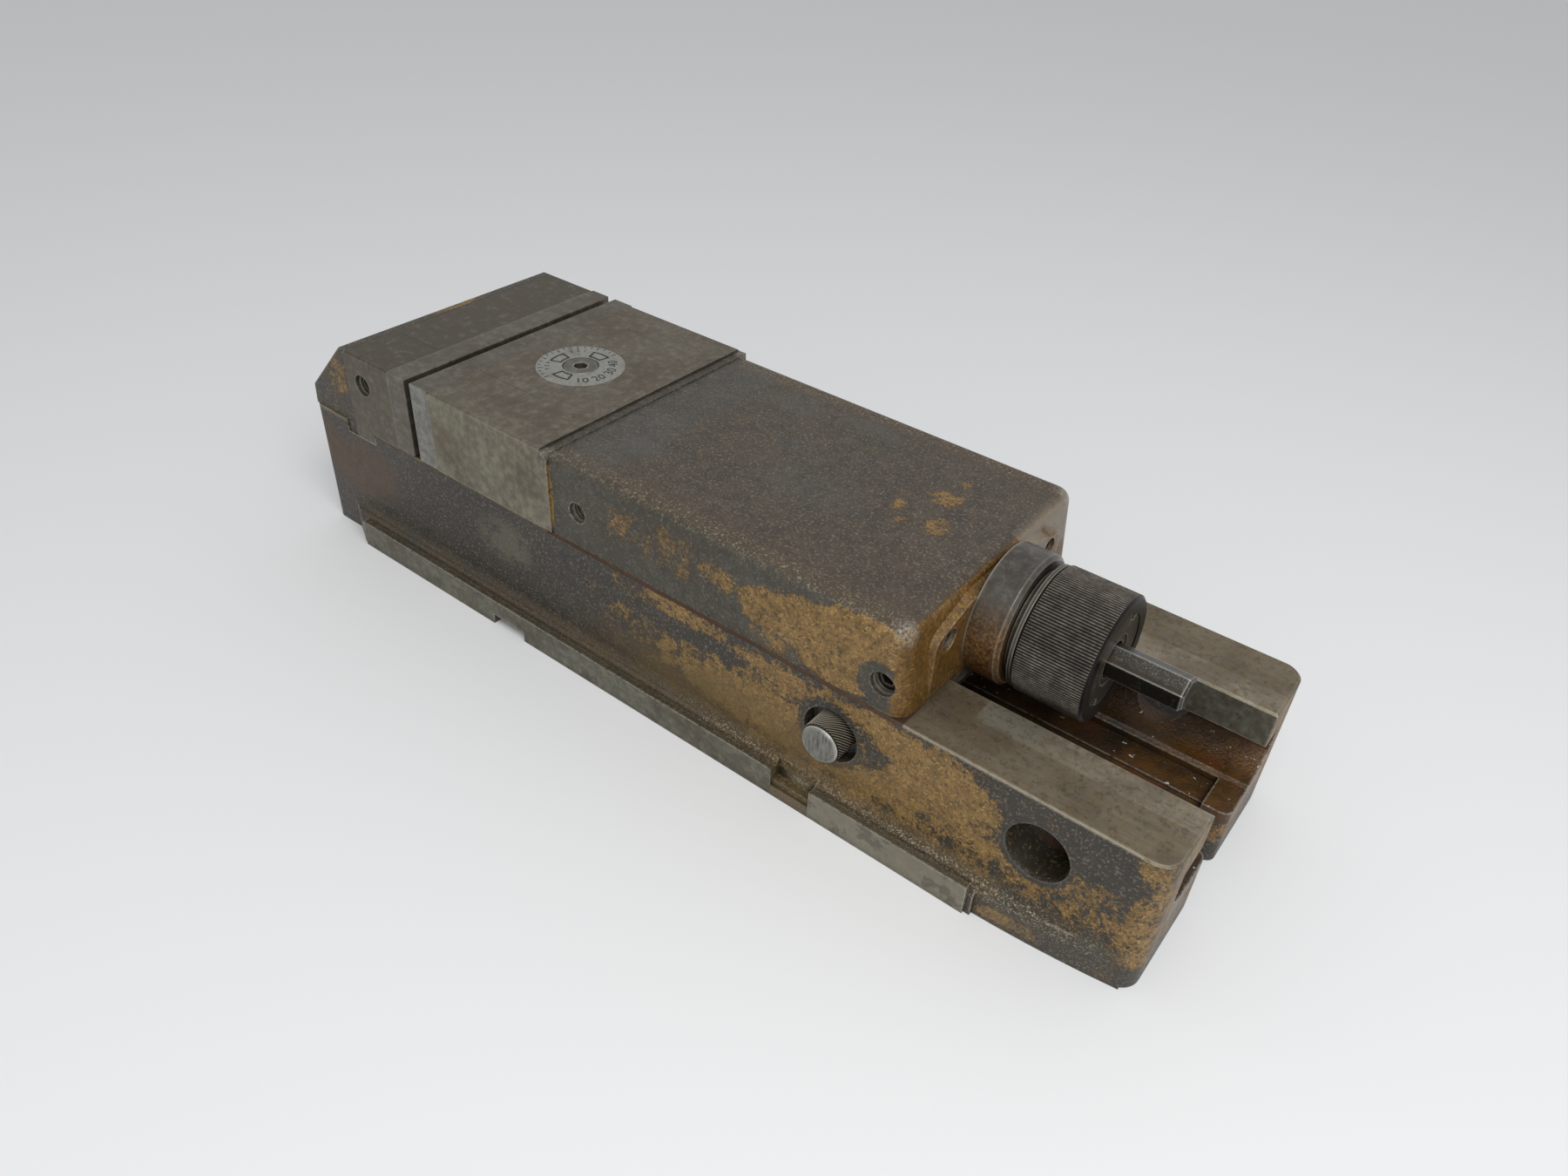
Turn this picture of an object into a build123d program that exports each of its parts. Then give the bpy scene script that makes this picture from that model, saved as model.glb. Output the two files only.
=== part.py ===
from build123d import *
import math
import os

# High-pressure machine vise. Millimetres, +Z up, +X towards the crank end.
# The origin is the centre of the underside. Most places along X are measured
# from the clamping face of the fixed jaw.

# Driving sizes
jaw_width = 125.0
ledge_reach = 7.5
bed_length = 437.0
rail_top = 62.8
jaw_height = 38.6
jaw_gap = 4.0
spindle_rise = 15.6

# Clearances
slide_fit = 0.05
guide_fit = 0.1
turn_fit = 0.05
bolt_fit = 0.5
thread_fit = 0.05
booster_fit = 0.1
dial_fit = 0.25
face_gap = 0.3

clamp_setback = 74.35
base_width = jaw_width + 2 * ledge_reach
bed_front = -bed_length / 2
bed_rear = bed_length / 2
half_width = jaw_width / 2
half_base = base_width / 2
jaw_top = rail_top + jaw_height
spindle_height = rail_top + spindle_rise
clamp_face = bed_front + clamp_setback

# Bed: seat of the fixed jaw
seat_rise = 1.2
seat_top = rail_top + seat_rise
tenon_width = 20.0
tenon_depth = 5.1
tenon_setback = 29.5
tenon_rear = clamp_face - tenon_setback
tenon_front = tenon_rear - tenon_width
jaw_bolt_r = 6.0
jaw_bolt_head_r = 9.0
jaw_bolt_head = 12.0
jaw_bolt_sink = 13.0
jaw_bolt_inset = 32.5
jaw_bolt_y = half_width - jaw_bolt_inset
jaw_bolt_margin = 8.0
jaw_bolt_engagement = 14.0
jaw_bolt_rows = (tenon_front - jaw_bolt_margin, tenon_rear + jaw_bolt_margin)
head_clearance = 1.0

# Bed: channel between the rails
channel_setback = 2.0
channel_front = clamp_face + channel_setback
guide_half = 30.2
lip_width = 15.3
lip_height = 15.6
lip_under = rail_top - lip_height
undercut_half = guide_half + lip_width
shelf_z = 34.0
shelf_width = 5.5
shelf_rise = 1.9
ridge_half = 30.0
ridge_z = 27.0
ridge_bevel = 1.5
sill_z = 26.0
trough_z = 22.5
trough_half = 28.0
groove_half = 15.0
groove_depth = 1.0
rear_rib = 10.65
trough_rear = bed_rear - rear_rib
slot_half = 11.0
slot_length = 60.0
slot_corner = 4.0
rear_corner = 8.0
front_corner = 4.0
edge_break = 0.8

# Underside of the bed and its feet
keyway_width = 20.0
keyway_depth = 5.2
keyway_reach = 63.0
keyway_place = clamp_face + keyway_reach
ledge_top = 13.6
ledge_setback = 41.0
ledge_rear_inset = 61.15
ledge_gap_inset = 130.65
ledge_gap = 18.2
gap_end = bed_rear - ledge_gap_inset
gap_start = gap_end - ledge_gap
ledge_stretches = ((clamp_face - ledge_setback, gap_start), (gap_end, bed_rear - ledge_rear_inset))
low_strip_top = 5.0
notch_floor = 8.0
notch_wall = half_width + 1.7
foot_overlap = 7.5
foot_root = half_width - foot_overlap
foot_reach = 6.4
foot_half = half_width + foot_reach
foot_edge_top = 9.6
foot_setback = 56.0
foot_shoulder_setback = 43.3
foot_taper_inset = 58.65
foot_taper_reach = 4.9
foot_fade_inset = 27.0
foot_fade_reach = 2.9
foot_front = clamp_face - foot_setback
foot_shoulder = clamp_face - foot_shoulder_setback
foot_taper = bed_rear - foot_taper_inset
foot_fade = bed_rear - foot_fade_inset
bead_top = 15.7
bead_reach = 1.8
bead_width = 1.3
bead_bevel = 2.5
bead_drop = 0.4
bead_round = 0.6
wall_fillet = 4.8

# Fixed jaw
fixed_plate_thick = 11.1
fixed_back_inset = 0.85
fixed_jaw_back = bed_front + fixed_back_inset
fixed_back_draft = 0.8
fixed_slope_drop = 27.4
fixed_slope_foot = jaw_top - fixed_slope_drop
fixed_top_length = 46.0
fixed_slope_top = clamp_face - fixed_top_length
fixed_machined_length = 42.5
fixed_machined_back = clamp_face - fixed_machined_length
cast_inset = 0.6
fixed_tap_setback = 31.5
fixed_tap_x = clamp_face - fixed_tap_setback
fixed_tap_drop = 13.9
fixed_tap_z = jaw_top - fixed_tap_drop
tap_r = 5.0
tap_depth = 18.0
top_chamfer = 1.0

# Jaw plates and their screws
plate_lift = 0.3
plate_screw_inset = 17.5
plate_screw_y = half_width - plate_screw_inset
plate_screw_drop = 19.4
plate_screw_z = jaw_top - plate_screw_drop
fixed_screw_r = 4.0
fixed_screw_head_r = 6.5
fixed_screw_head = 8.0
moving_screw_r = 5.0
moving_screw_head_r = 8.0
moving_screw_head = 10.0
plate_screw_sink = 0.6
plate_screw_grip = 14.0
plate_chamfer = 0.4

# Movable jaw and its housing, one casting, from front to rear
moving_face = clamp_face + jaw_gap
moving_plate_thick = 11.8
head_front = moving_face + moving_plate_thick
head_length = 73.2
head_rear = head_front + head_length
head_lip = 4.1
head_lip_drop = 0.9
bulkhead = 41.0
cavity_front = head_rear + bulkhead
cavity_length = 126.0
cavity_rear = cavity_front + cavity_length
rear_wall = 6.9
pad_face = cavity_rear + rear_wall
pad_rise = 0.2
housing_rear = pad_face - pad_rise
housing_inset = 0.7
housing_half = half_width - housing_inset
housing_drop = 1.6
housing_top = jaw_top - housing_drop
housing_bottom = rail_top + slide_fit
housing_lean = 3.5
housing_edge = 5.0
housing_corner = 7.0
side_wall = 15.8
roof = 5.8
cavity_half = housing_half - side_wall
cavity_top = housing_top - roof
cavity_corner = 6.0
tongue_half = guide_half - guide_fit
tongue_inset = 4.2
tongue_front = head_front + tongue_inset
rear_tongue_drop = 6.8
rear_tongue_bottom = rail_top - rear_tongue_drop
pad_inset = 12.0
pad_half = housing_half - pad_inset
pad_shoulder_drop = 8.5
pad_shoulder = housing_top - pad_shoulder_drop
pad_crown_drop = 1.3
pad_crown = housing_top - pad_crown_drop
pad_crown_half = 24.0
pad_round = 9.0
pad_slope = 30.0
rear_tap_inset = 24.8
rear_tap_y = housing_half - rear_tap_inset
rear_tap_drop = 14.8
rear_tap_z = housing_top - rear_tap_drop
rear_tap_r = 4.5
front_side_tap_reach = 15.5
front_side_tap_drop = 22.2
front_side_tap = (head_rear + front_side_tap_reach, jaw_top - front_side_tap_drop)
front_side_tap_r = 4.5
rear_side_tap_inset = 10.4
rear_side_tap_drop = 26.3
rear_side_tap = (pad_face - rear_side_tap_inset, jaw_top - rear_side_tap_drop)
side_tap_depth = 13.0
set_screw_length = 8.0
set_screw_sink = 4.0
set_screw_socket = 5.0

# Keepers below the lips
keeper_top = lip_under - guide_fit
keeper_thick = 7.5
keeper_inner = 8.0
keeper_outer_gap = 1.5
keeper_outer = undercut_half - keeper_outer_gap
keeper_rear_gap = 2.0
keeper_rear = cavity_front - keeper_rear_gap
keeper_screw_y = 20.0
keeper_screw_r = 4.0
keeper_screw_head_r = 6.5
keeper_screw_head = 8.0
keeper_screw_sink = 4.0
keeper_screw_pitch = 39.0
keeper_screw_grip = 12.0
keeper_middle = (tongue_front + keeper_rear) / 2
keeper_screw_places = (keeper_middle - keeper_screw_pitch, keeper_middle, keeper_middle + keeper_screw_pitch)

# Dial plate and its screw
dial_inset = 28.7
dial_place = head_front + dial_inset
dial_r = 20.0
dial_thick = 1.2
dial_sink = 0.1
dial_screw_r = 7.9
dial_head = 6.0
dial_shank_r = 5.0
dial_shank = 16.0
dial_socket = 6.0
dial_socket_depth = 3.5

# Locking pin in the first of the two cross holes, which the nut block decides
nut_length = 34.0
nut_rear_gap = 4.7
pin_place = cavity_rear - nut_rear_gap - nut_length / 2
pin_pitch = 85.4
pin_height = 40.0
pin_r = 12.0
grip_r = 8.0
grip_reach = half_base
shank_inset = 6.5
shank_end = 0.5
pin_chamfer = 0.8

# Spindle, its nut and its bearing in the collar
spindle_r = 12.0
spindle_bore_r = 5.5
spindle_lead = 2.0
spindle_front = cavity_front - spindle_lead
collar_length = 14.2
collar_rear = pad_face + collar_length
spindle_tail = 18.9
spindle_rear = collar_rear + spindle_tail
flange_r = 15.5
flange_inset = 6.0
flange_front = cavity_rear + flange_inset
flange_thick = 4.0
nut_half = 26.0
nut_foot_half = tongue_half - 2 * guide_fit
nut_foot_lift = 3.0
nut_foot_z = sill_z + nut_foot_lift
nut_foot_drop = 0.8
nut_foot_top = rail_top - nut_foot_drop
nut_roof_gap = 1.5
nut_top = cavity_top - nut_roof_gap
nut_round = 12.0
bush_wall = 3.0
collar_r = 26.14
collar_spigot_r = 17.5
collar_chamfer = 1.5
washer_thick = 1.0
washer_inner_r = 12.4
washer_outer_r = 15.6
roller_r = 0.95
roller_length = 2.6
roller_count = 12
thrust_front = flange_front + flange_thick + slide_fit
collar_shoulder = thrust_front + 2 * washer_thick + 2 * (roller_r + slide_fit)

# Booster in the bulkhead in front of the spindle
booster_depth = 36.0
booster_front = cavity_front - booster_depth
booster_r = 17.0
pressure_plate_thick = 5.0
ramp_r = 6.5
ramp_depth = 3.0
booster_roller_r = 3.95
booster_roller_length = 8.0
booster_roller_orbit = 10.5
booster_roller_count = 3
cup_skirt = 8.0
cup_recess_r = 15.2
cup_floor = 11.0
cup_neck_r = 12.4
cup_neck = 6.0
cup_bore_r = 6.5
retainer_thick = 4.0
front_washer_r = 12.2
roller_track = booster_front + pressure_plate_thick
cup_shoulder = roller_track + cup_skirt + cup_floor
cup_rear = cup_shoulder + cup_neck
disc_spring_inner_r = 12.8
disc_spring_thick = 0.9
disc_spring_rise = 1.0
disc_spring_count = 4
disc_spring_pitch = (cavity_front - retainer_thick - cup_shoulder) / disc_spring_count

# Thrust rod and drive shaft inside the spindle
rod_r = 5.2
rod_wedge_reach = 6.4
rod_wedge_root = roller_track + rod_wedge_reach
rod_wedge_length = 4.4
rod_tip = rod_wedge_root - rod_wedge_length
rod_wedge_r = 6.0
rod_wedge_land = 6.0
rod_wedge_angle = 30.0
rod_tip_r = rod_wedge_r - rod_wedge_length * math.tan(math.radians(rod_wedge_angle))
rod_length = 137.0
rod_rear = rod_tip + rod_length
rod_bore_r = 3.7
rod_bore_depth = 16.0
drive_spigot_r = 3.4
drive_spigot_grip = 12.0
drive_spigot_front = rod_rear - drive_spigot_grip
drive_shank_gap = 6.0
drive_shank_front = rod_rear + drive_shank_gap
hex_lift = 0.4
hex_front = spindle_rear + hex_lift
hex_length = 40.6
hex_rear = hex_front + hex_length
hex_across_flats = 12.0
hex_turn = 36.0
hex_chamfer = 1.0
clutch_r = 15.5
clutch_thick = 3.0
clutch_front = hex_front + face_gap
clutch_spring_r = 10.6
clutch_wire_r = 0.7
clutch_spring_turns = 2.5

# Sleeve, spacer and end ring behind the collar
spacer_front = collar_rear + face_gap
spacer_hub_r = 21.0
groove_width = 2.9
spacer_flange_front = collar_rear + groove_width
spacer_r = 24.3
spacer_flange = 1.6
spacer_rear = spacer_flange_front + spacer_flange
sleeve_front = spacer_rear + face_gap
sleeve_length = 27.7
sleeve_rear = sleeve_front + sleeve_length
sleeve_r = 24.9
sleeve_teeth = 136
tooth_depth = 0.45
sleeve_front_chamfer = 0.7
sleeve_rear_chamfer = 1.1
sleeve_hub = 8.4
sleeve_cavity_r = 17.5
end_ring_r = 18.4
end_ring_sink = 0.5
end_ring_thick = 3.0
end_ring_bore_r = 7.3
end_ring_step_r = 10.0
end_ring_step = 0.4
spanner_notch_width = 4.0
spanner_notch_depth = 2.6
spanner_notch_turn = 58.0
end_ring_rear = sleeve_rear - end_ring_sink
end_ring_front = end_ring_rear - end_ring_thick


os.makedirs("parts", exist_ok=True)


def across(place):
    """Plane across the spindle axis at a place along X, facing the crank end."""
    return Plane(origin=(place, 0, spindle_height), x_dir=(0, 1, 0), z_dir=(1, 0, 0))


def side_face(place, height, side, reach):
    """Plane on a side face, pointing away from the middle."""
    return Plane(origin=(place, side * reach, height), x_dir=(1, 0, 0), z_dir=(0, side, 0))


def facing(place, y, height):
    """Plane on a face that looks along +X."""
    return Plane(origin=(place, y, height), x_dir=(0, 1, 0), z_dir=(1, 0, 0))


def facing_back(place, y, height):
    """Plane on a face that looks along -X."""
    return Plane(origin=(place, y, height), x_dir=(0, -1, 0), z_dir=(-1, 0, 0))


def facing_down(place, y, height):
    """Plane on a face that looks down."""
    return Plane(origin=(place, y, height), x_dir=(1, 0, 0), z_dir=(0, 0, -1))


def facing_up(place, y, height):
    """Plane on a face that looks up."""
    return Plane(origin=(place, y, height), x_dir=(1, 0, 0), z_dir=(0, 0, 1))


def ring(front, rear, outer_r, inner_r=0.0):
    """Adds a disc or ring round the spindle axis, from front to rear along X."""
    with BuildSketch(across(front)) as section:
        Circle(outer_r)
        if inner_r:
            Circle(inner_r, mode=Mode.SUBTRACT)
    extrude(section.sketch, amount=rear - front)


def bore(front, rear, radius):
    """Cuts a round hole along the spindle axis, from front to rear along X."""
    with BuildSketch(across(front)) as section:
        Circle(radius)
    extrude(section.sketch, amount=rear - front, mode=Mode.SUBTRACT)


def hole(plane, radius, depth):
    """Cuts a round hole with its mouth on the plane and its depth against the plane's normal."""
    with BuildSketch(plane) as section:
        Circle(radius)
    extrude(section.sketch, amount=-depth, mode=Mode.SUBTRACT)


def cap_screw(plane, shank_r, head_r, head, shank):
    """Adds a socket head screw whose head top lies on the plane, with its shank behind it."""
    with BuildSketch(plane) as head_section:
        Circle(head_r)
    extrude(head_section.sketch, amount=-head)
    with BuildSketch(plane.offset(-head)) as shank_section:
        Circle(shank_r)
    extrude(shank_section.sketch, amount=-shank)
    with BuildSketch(plane) as socket:
        RegularPolygon(shank_r * 0.8, 6, major_radius=False)
    extrude(socket.sketch, amount=-head / 2, mode=Mode.SUBTRACT)


def save(piece, label):
    """Labels a finished piece and writes its file."""
    piece.part.label = label
    export_step(piece.part, f"parts/{label}.step")


# Cast feet along both sides: sloping edge, bead and a fillet up to the wall
with BuildPart() as feet:
    with BuildSketch(Plane.YZ.offset(bed_front)):
        with BuildLine():
            edge_side = (foot_half, foot_edge_top)
            edge_top = (foot_half - bead_bevel, ledge_top - bead_drop)
            bead_crest = (half_width + bead_reach, bead_top)
            bead_middle = (half_width + bead_reach + bead_width, bead_top - bead_round)
            wall_middle = (half_width + wall_fillet / 8, bead_top + wall_fillet * 3 / 8)
            wall_end = (half_width, bead_top + wall_fillet)
            Polyline((foot_root, 0), (foot_half, 0), edge_side, edge_top)
            ThreePointArc(edge_top, bead_middle, bead_crest)
            ThreePointArc(bead_crest, wall_middle, wall_end)
            Polyline(wall_end, (foot_root, bead_top + wall_fillet), (foot_root, 0))
        make_face()
        mirror(about=Plane.YZ)
    extrude(amount=bed_length)
    with BuildSketch(Plane.XY):
        with BuildLine():
            Polyline(
                (foot_front, 0),
                (foot_front, half_width),
                (foot_shoulder, foot_half),
                (foot_taper, foot_half),
                (foot_taper, half_width + foot_taper_reach),
            )
            ThreePointArc(
                (foot_taper, half_width + foot_taper_reach),
                (foot_fade, half_width + foot_fade_reach),
                (bed_rear - rear_corner / 2, half_width),
            )
            Polyline((bed_rear - rear_corner / 2, half_width), (bed_rear - rear_corner / 2, 0), (foot_front, 0))
        make_face()
        mirror(about=Plane.XZ)
    extrude(amount=bead_top + wall_fillet, mode=Mode.INTERSECT)

with BuildPart() as bed:
    # Body with the raised seat and the cross slot of the fixed jaw
    with BuildSketch(Plane.XZ):
        with BuildLine():
            Polyline(
                (bed_front, 0),
                (bed_rear, 0),
                (bed_rear, rail_top),
                (tenon_rear, rail_top),
                (tenon_rear, rail_top - tenon_depth),
                (tenon_front, rail_top - tenon_depth),
                (tenon_front, seat_top),
                (bed_front, seat_top),
                (bed_front, 0),
            )
        make_face()
    extrude(amount=half_width, both=True)
    upright = bed.edges().filter_by(Axis.Z)
    fillet(upright.group_by(Axis.X)[-1], rear_corner)
    fillet(bed.edges().filter_by(Axis.Z).group_by(Axis.X)[0], front_corner)
    add(feet.part)

    # Machined clamping ledges, with a low strip in the gap between them
    for start, end in ledge_stretches:
        with BuildSketch(Plane.XY):
            for side in (-1, 1):
                with Locations(((start + end) / 2, side * (half_base + foot_root) / 2)):
                    Rectangle(end - start, half_base - foot_root)
        extrude(amount=ledge_top)
    gap_middle = (gap_start + gap_end) / 2
    with BuildSketch(Plane.XY.offset(notch_floor)):
        for side in (-1, 1):
            with Locations((gap_middle, side * (half_base + notch_wall) / 2)):
                Rectangle(gap_end - gap_start, half_base - notch_wall)
    extrude(amount=ledge_top, mode=Mode.SUBTRACT)
    with BuildSketch(Plane.XY):
        for side in (-1, 1):
            with Locations((gap_middle, side * (half_base + foot_root) / 2)):
                Rectangle(gap_end - gap_start, half_base - foot_root)
    extrude(amount=low_strip_top)

    # Channel between the rails: guide faces, undercut below the lips, sloping shelves
    with BuildSketch(Plane.YZ.offset(channel_front)):
        with BuildLine():
            Polyline((0, sill_z), (ridge_half - ridge_bevel, sill_z), (ridge_half, ridge_z))
            ThreePointArc(
                (ridge_half, ridge_z),
                (undercut_half - shelf_width, ridge_z + shelf_rise),
                (undercut_half, shelf_z),
            )
            Polyline(
                (undercut_half, shelf_z),
                (undercut_half, lip_under),
                (guide_half, lip_under),
                (guide_half, seat_top),
                (0, seat_top),
                (0, sill_z),
            )
        make_face()
        mirror(about=Plane.YZ)
    extrude(amount=bed_rear - channel_front, mode=Mode.SUBTRACT)

    # Trough and its shallow centre groove, ended by the rear rib
    with BuildSketch(Plane.YZ.offset(channel_front)):
        with Locations((0, (trough_z + sill_z) / 2)):
            Rectangle(2 * trough_half, sill_z - trough_z)
        with Locations((0, trough_z - groove_depth / 2)):
            Rectangle(2 * groove_half, groove_depth)
    extrude(amount=trough_rear - channel_front, mode=Mode.SUBTRACT)

    # Open slot through the floor at the rear end
    with BuildSketch(Plane.XY):
        with Locations((bed_rear, 0)):
            SlotOverall(2 * slot_length, 2 * slot_half)
    extrude(amount=sill_z, mode=Mode.SUBTRACT)
    slot_mouth = bed.edges().filter_by(Axis.Z).group_by(Axis.X)[-1]
    fillet(slot_mouth.filter_by_position(Axis.Y, -slot_half - 1, slot_half + 1), slot_corner)

    # Keyway across the underside
    with BuildSketch(Plane.XY):
        with Locations((keyway_place, 0)):
            Rectangle(keyway_width, base_width)
    extrude(amount=keyway_depth, mode=Mode.SUBTRACT)

    # Cross holes for the locking pin, in its two places
    for place in (pin_place, pin_place + pin_pitch):
        hole(side_face(place, pin_height, -1, half_width), pin_r, jaw_width)

    # Bolt holes of the fixed jaw, sunk from below
    for place in jaw_bolt_rows:
        for side in (-1, 1):
            below = facing_down(place, side * jaw_bolt_y, 0)
            hole(below, jaw_bolt_head_r + head_clearance, jaw_bolt_sink)
            hole(below, jaw_bolt_r + bolt_fit, seat_top)

    # Broken edges on the rails
    rail_edges = bed.edges().filter_by(Axis.X).filter_by_position(Axis.Z, rail_top - 0.01, rail_top + 0.01)
    chamfer(rail_edges, edge_break)
save(bed, "bed")

# Fixed jaw: tenon in the cross slot, sloping cast back, ground front half
with BuildPart() as fixed_jaw:
    with BuildSketch(Plane.XZ):
        with BuildLine():
            Polyline(
                (fixed_jaw_back, seat_top),
                (tenon_front + guide_fit, seat_top),
                (tenon_front + guide_fit, rail_top - tenon_depth),
                (tenon_rear - guide_fit, rail_top - tenon_depth),
                (tenon_rear - guide_fit, rail_top),
                (clamp_face - fixed_plate_thick, rail_top),
                (clamp_face - fixed_plate_thick, jaw_top),
                (fixed_slope_top, jaw_top),
                (fixed_jaw_back + fixed_back_draft, fixed_slope_foot),
                (fixed_jaw_back, seat_top),
            )
        make_face()
    extrude(amount=half_width, both=True)
    top_sides = fixed_jaw.edges().filter_by(Axis.X).filter_by_position(Axis.Z, jaw_top - 0.01, jaw_top + 0.01)
    chamfer(top_sides, top_chamfer)

    # The cast rear half stands a little inside the ground flanks
    for side in (-1, 1):
        with BuildSketch(Plane.XY.offset(rail_top - tenon_depth)):
            with Locations(((fixed_jaw_back + fixed_machined_back) / 2, side * half_width)):
                Rectangle(fixed_machined_back - fixed_jaw_back, 2 * cast_inset)
        extrude(amount=jaw_height + tenon_depth, mode=Mode.SUBTRACT)

    # Tapped holes: one in each flank, two for the plate, four for the bolts from below
    for side in (-1, 1):
        hole(side_face(fixed_tap_x, fixed_tap_z, side, half_width), tap_r, tap_depth)
        plate_seat = facing(clamp_face - fixed_plate_thick, side * plate_screw_y, plate_screw_z)
        hole(plate_seat, fixed_screw_r + thread_fit, plate_screw_grip + face_gap)
        for place in jaw_bolt_rows:
            reach = seat_top - rail_top + tenon_depth + jaw_bolt_engagement
            hole(
                facing_down(place, side * jaw_bolt_y, rail_top - tenon_depth),
                jaw_bolt_r + thread_fit,
                reach + face_gap,
            )
save(fixed_jaw, "fixed_jaw")

# Bolts of the fixed jaw, put in from below
with BuildPart() as fixed_jaw_bolts:
    for place in jaw_bolt_rows:
        for side in (-1, 1):
            cap_screw(
                facing_down(place, side * jaw_bolt_y, jaw_bolt_sink - jaw_bolt_head),
                jaw_bolt_r,
                jaw_bolt_head_r,
                jaw_bolt_head,
                seat_top + jaw_bolt_engagement - jaw_bolt_sink,
            )
save(fixed_jaw_bolts, "fixed_jaw_bolts")

# Hardened plate of the fixed jaw, with its two sunk screws
with BuildPart() as fixed_jaw_plate:
    with BuildSketch(facing_back(clamp_face - fixed_plate_thick, 0, (rail_top + plate_lift + jaw_top) / 2)):
        Rectangle(jaw_width, jaw_height - plate_lift)
    extrude(amount=-fixed_plate_thick)
    chamfer(fixed_jaw_plate.faces().sort_by(Axis.X)[-1].edges(), plate_chamfer)
    for side in (-1, 1):
        mouth = facing(clamp_face, side * plate_screw_y, plate_screw_z)
        hole(mouth, fixed_screw_head_r + head_clearance, fixed_screw_head + plate_screw_sink)
        hole(mouth, fixed_screw_r + bolt_fit, fixed_plate_thick)
save(fixed_jaw_plate, "fixed_jaw_plate")

with BuildPart() as fixed_plate_screws:
    for side in (-1, 1):
        cap_screw(
            facing(clamp_face - plate_screw_sink, side * plate_screw_y, plate_screw_z),
            fixed_screw_r,
            fixed_screw_head_r,
            fixed_screw_head,
            fixed_plate_thick - plate_screw_sink - fixed_screw_head + plate_screw_grip,
        )
save(fixed_plate_screws, "fixed_plate_screws")

# Movable jaw: ground head and cast housing in one casting
with BuildPart() as movable_jaw:
    with BuildSketch(Plane.XZ):
        with BuildLine():
            Polyline(
                (head_rear - head_lip, housing_bottom),
                (housing_rear, housing_bottom),
                (housing_rear - housing_lean, housing_top),
                (head_rear - head_lip, housing_top),
                (head_rear - head_lip, housing_bottom),
            )
        make_face()
    extrude(amount=housing_half, both=True)
    flank_edges = movable_jaw.edges().filter_by(lambda edge: abs(edge.center().Y) > housing_half - 1)
    fillet(flank_edges.sort_by(Axis.X)[-2:], housing_corner)
    fillet(movable_jaw.faces().sort_by(Axis.Z)[-1].edges().sort_by(Axis.X)[1:], housing_edge)

    # Ground head with the low strip behind it
    with BuildSketch(Plane.XZ):
        with BuildLine():
            Polyline(
                (head_front, housing_bottom),
                (head_rear, housing_bottom),
                (head_rear, jaw_top - head_lip_drop),
                (head_rear - head_lip, jaw_top - head_lip_drop),
                (head_rear - head_lip, jaw_top),
                (head_front, jaw_top),
                (head_front, housing_bottom),
            )
        make_face()
    extrude(amount=half_width, both=True)
    head_edges = movable_jaw.edges().filter_by(Axis.X).filter_by_position(Axis.Z, jaw_top - 0.01, jaw_top + 0.01)
    chamfer(head_edges, top_chamfer)

    # Tongues between the guide faces, below the head and at the rear wall
    tongue_stretches = ((tongue_front, cavity_front, keeper_top), (cavity_rear, pad_face, rear_tongue_bottom))
    for start, end, bottom in tongue_stretches:
        with BuildSketch(Plane.XY.offset(bottom)):
            with Locations(((start + end) / 2, 0)):
                Rectangle(end - start, 2 * tongue_half)
        extrude(amount=spindle_height - bottom)

    # Arched pad with sloping sides on the rear face, which seats the collar
    with BuildSketch(Plane.YZ.offset(cavity_rear)) as pad_outline:
        with BuildLine():
            Polyline(
                (0, housing_bottom),
                (pad_half, housing_bottom),
                (pad_half, pad_shoulder),
                (pad_crown_half, pad_crown),
                (0, pad_crown),
                (0, housing_bottom),
            )
        make_face()
        mirror(about=Plane.YZ)
        upper_corners = pad_outline.vertices().filter_by_position(Axis.Y, pad_shoulder - 1, pad_crown + 1)
        fillet(upper_corners, pad_round)
    extrude(amount=pad_face - cavity_rear, taper=pad_slope)

    # Hollow over the channel, where the nut stands
    with BuildSketch(Plane.XY.offset(rear_tongue_bottom)):
        with Locations(((cavity_front + cavity_rear) / 2, 0)):
            RectangleRounded(cavity_rear - cavity_front, 2 * cavity_half, cavity_corner)
    extrude(amount=cavity_top - rear_tongue_bottom, mode=Mode.SUBTRACT)

    # Bores on the spindle axis: booster pocket in front, collar seat behind
    bore(booster_front, cavity_front, booster_r + booster_fit)
    bore(cavity_rear, pad_face, collar_spigot_r + turn_fit)

    # Recess of the dial plate and the bore of its screw
    dial_face = facing_up(dial_place, 0, jaw_top)
    hole(dial_face, dial_r, dial_sink + dial_thick)
    hole(dial_face, dial_screw_r + dial_fit, dial_sink + dial_head + slide_fit)
    hole(dial_face, dial_shank_r + turn_fit, dial_sink + dial_head + dial_shank + face_gap)

    # Tapped holes in the flanks, the rear face, the head and the tongue
    for side in (-1, 1):
        hole(side_face(*front_side_tap, side, housing_half), front_side_tap_r, side_tap_depth)
        hole(side_face(*rear_side_tap, side, housing_half), tap_r, side_tap_depth)
        hole(facing(pad_face, side * rear_tap_y, rear_tap_z), rear_tap_r, pad_face - cavity_rear)
        hole(
            facing_back(head_front, side * plate_screw_y, plate_screw_z),
            moving_screw_r + thread_fit,
            plate_screw_grip + face_gap,
        )
        for place in keeper_screw_places:
            hole(
                facing_down(place, side * keeper_screw_y, keeper_top),
                keeper_screw_r + thread_fit,
                keeper_screw_grip + face_gap,
            )
save(movable_jaw, "movable_jaw")

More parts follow.
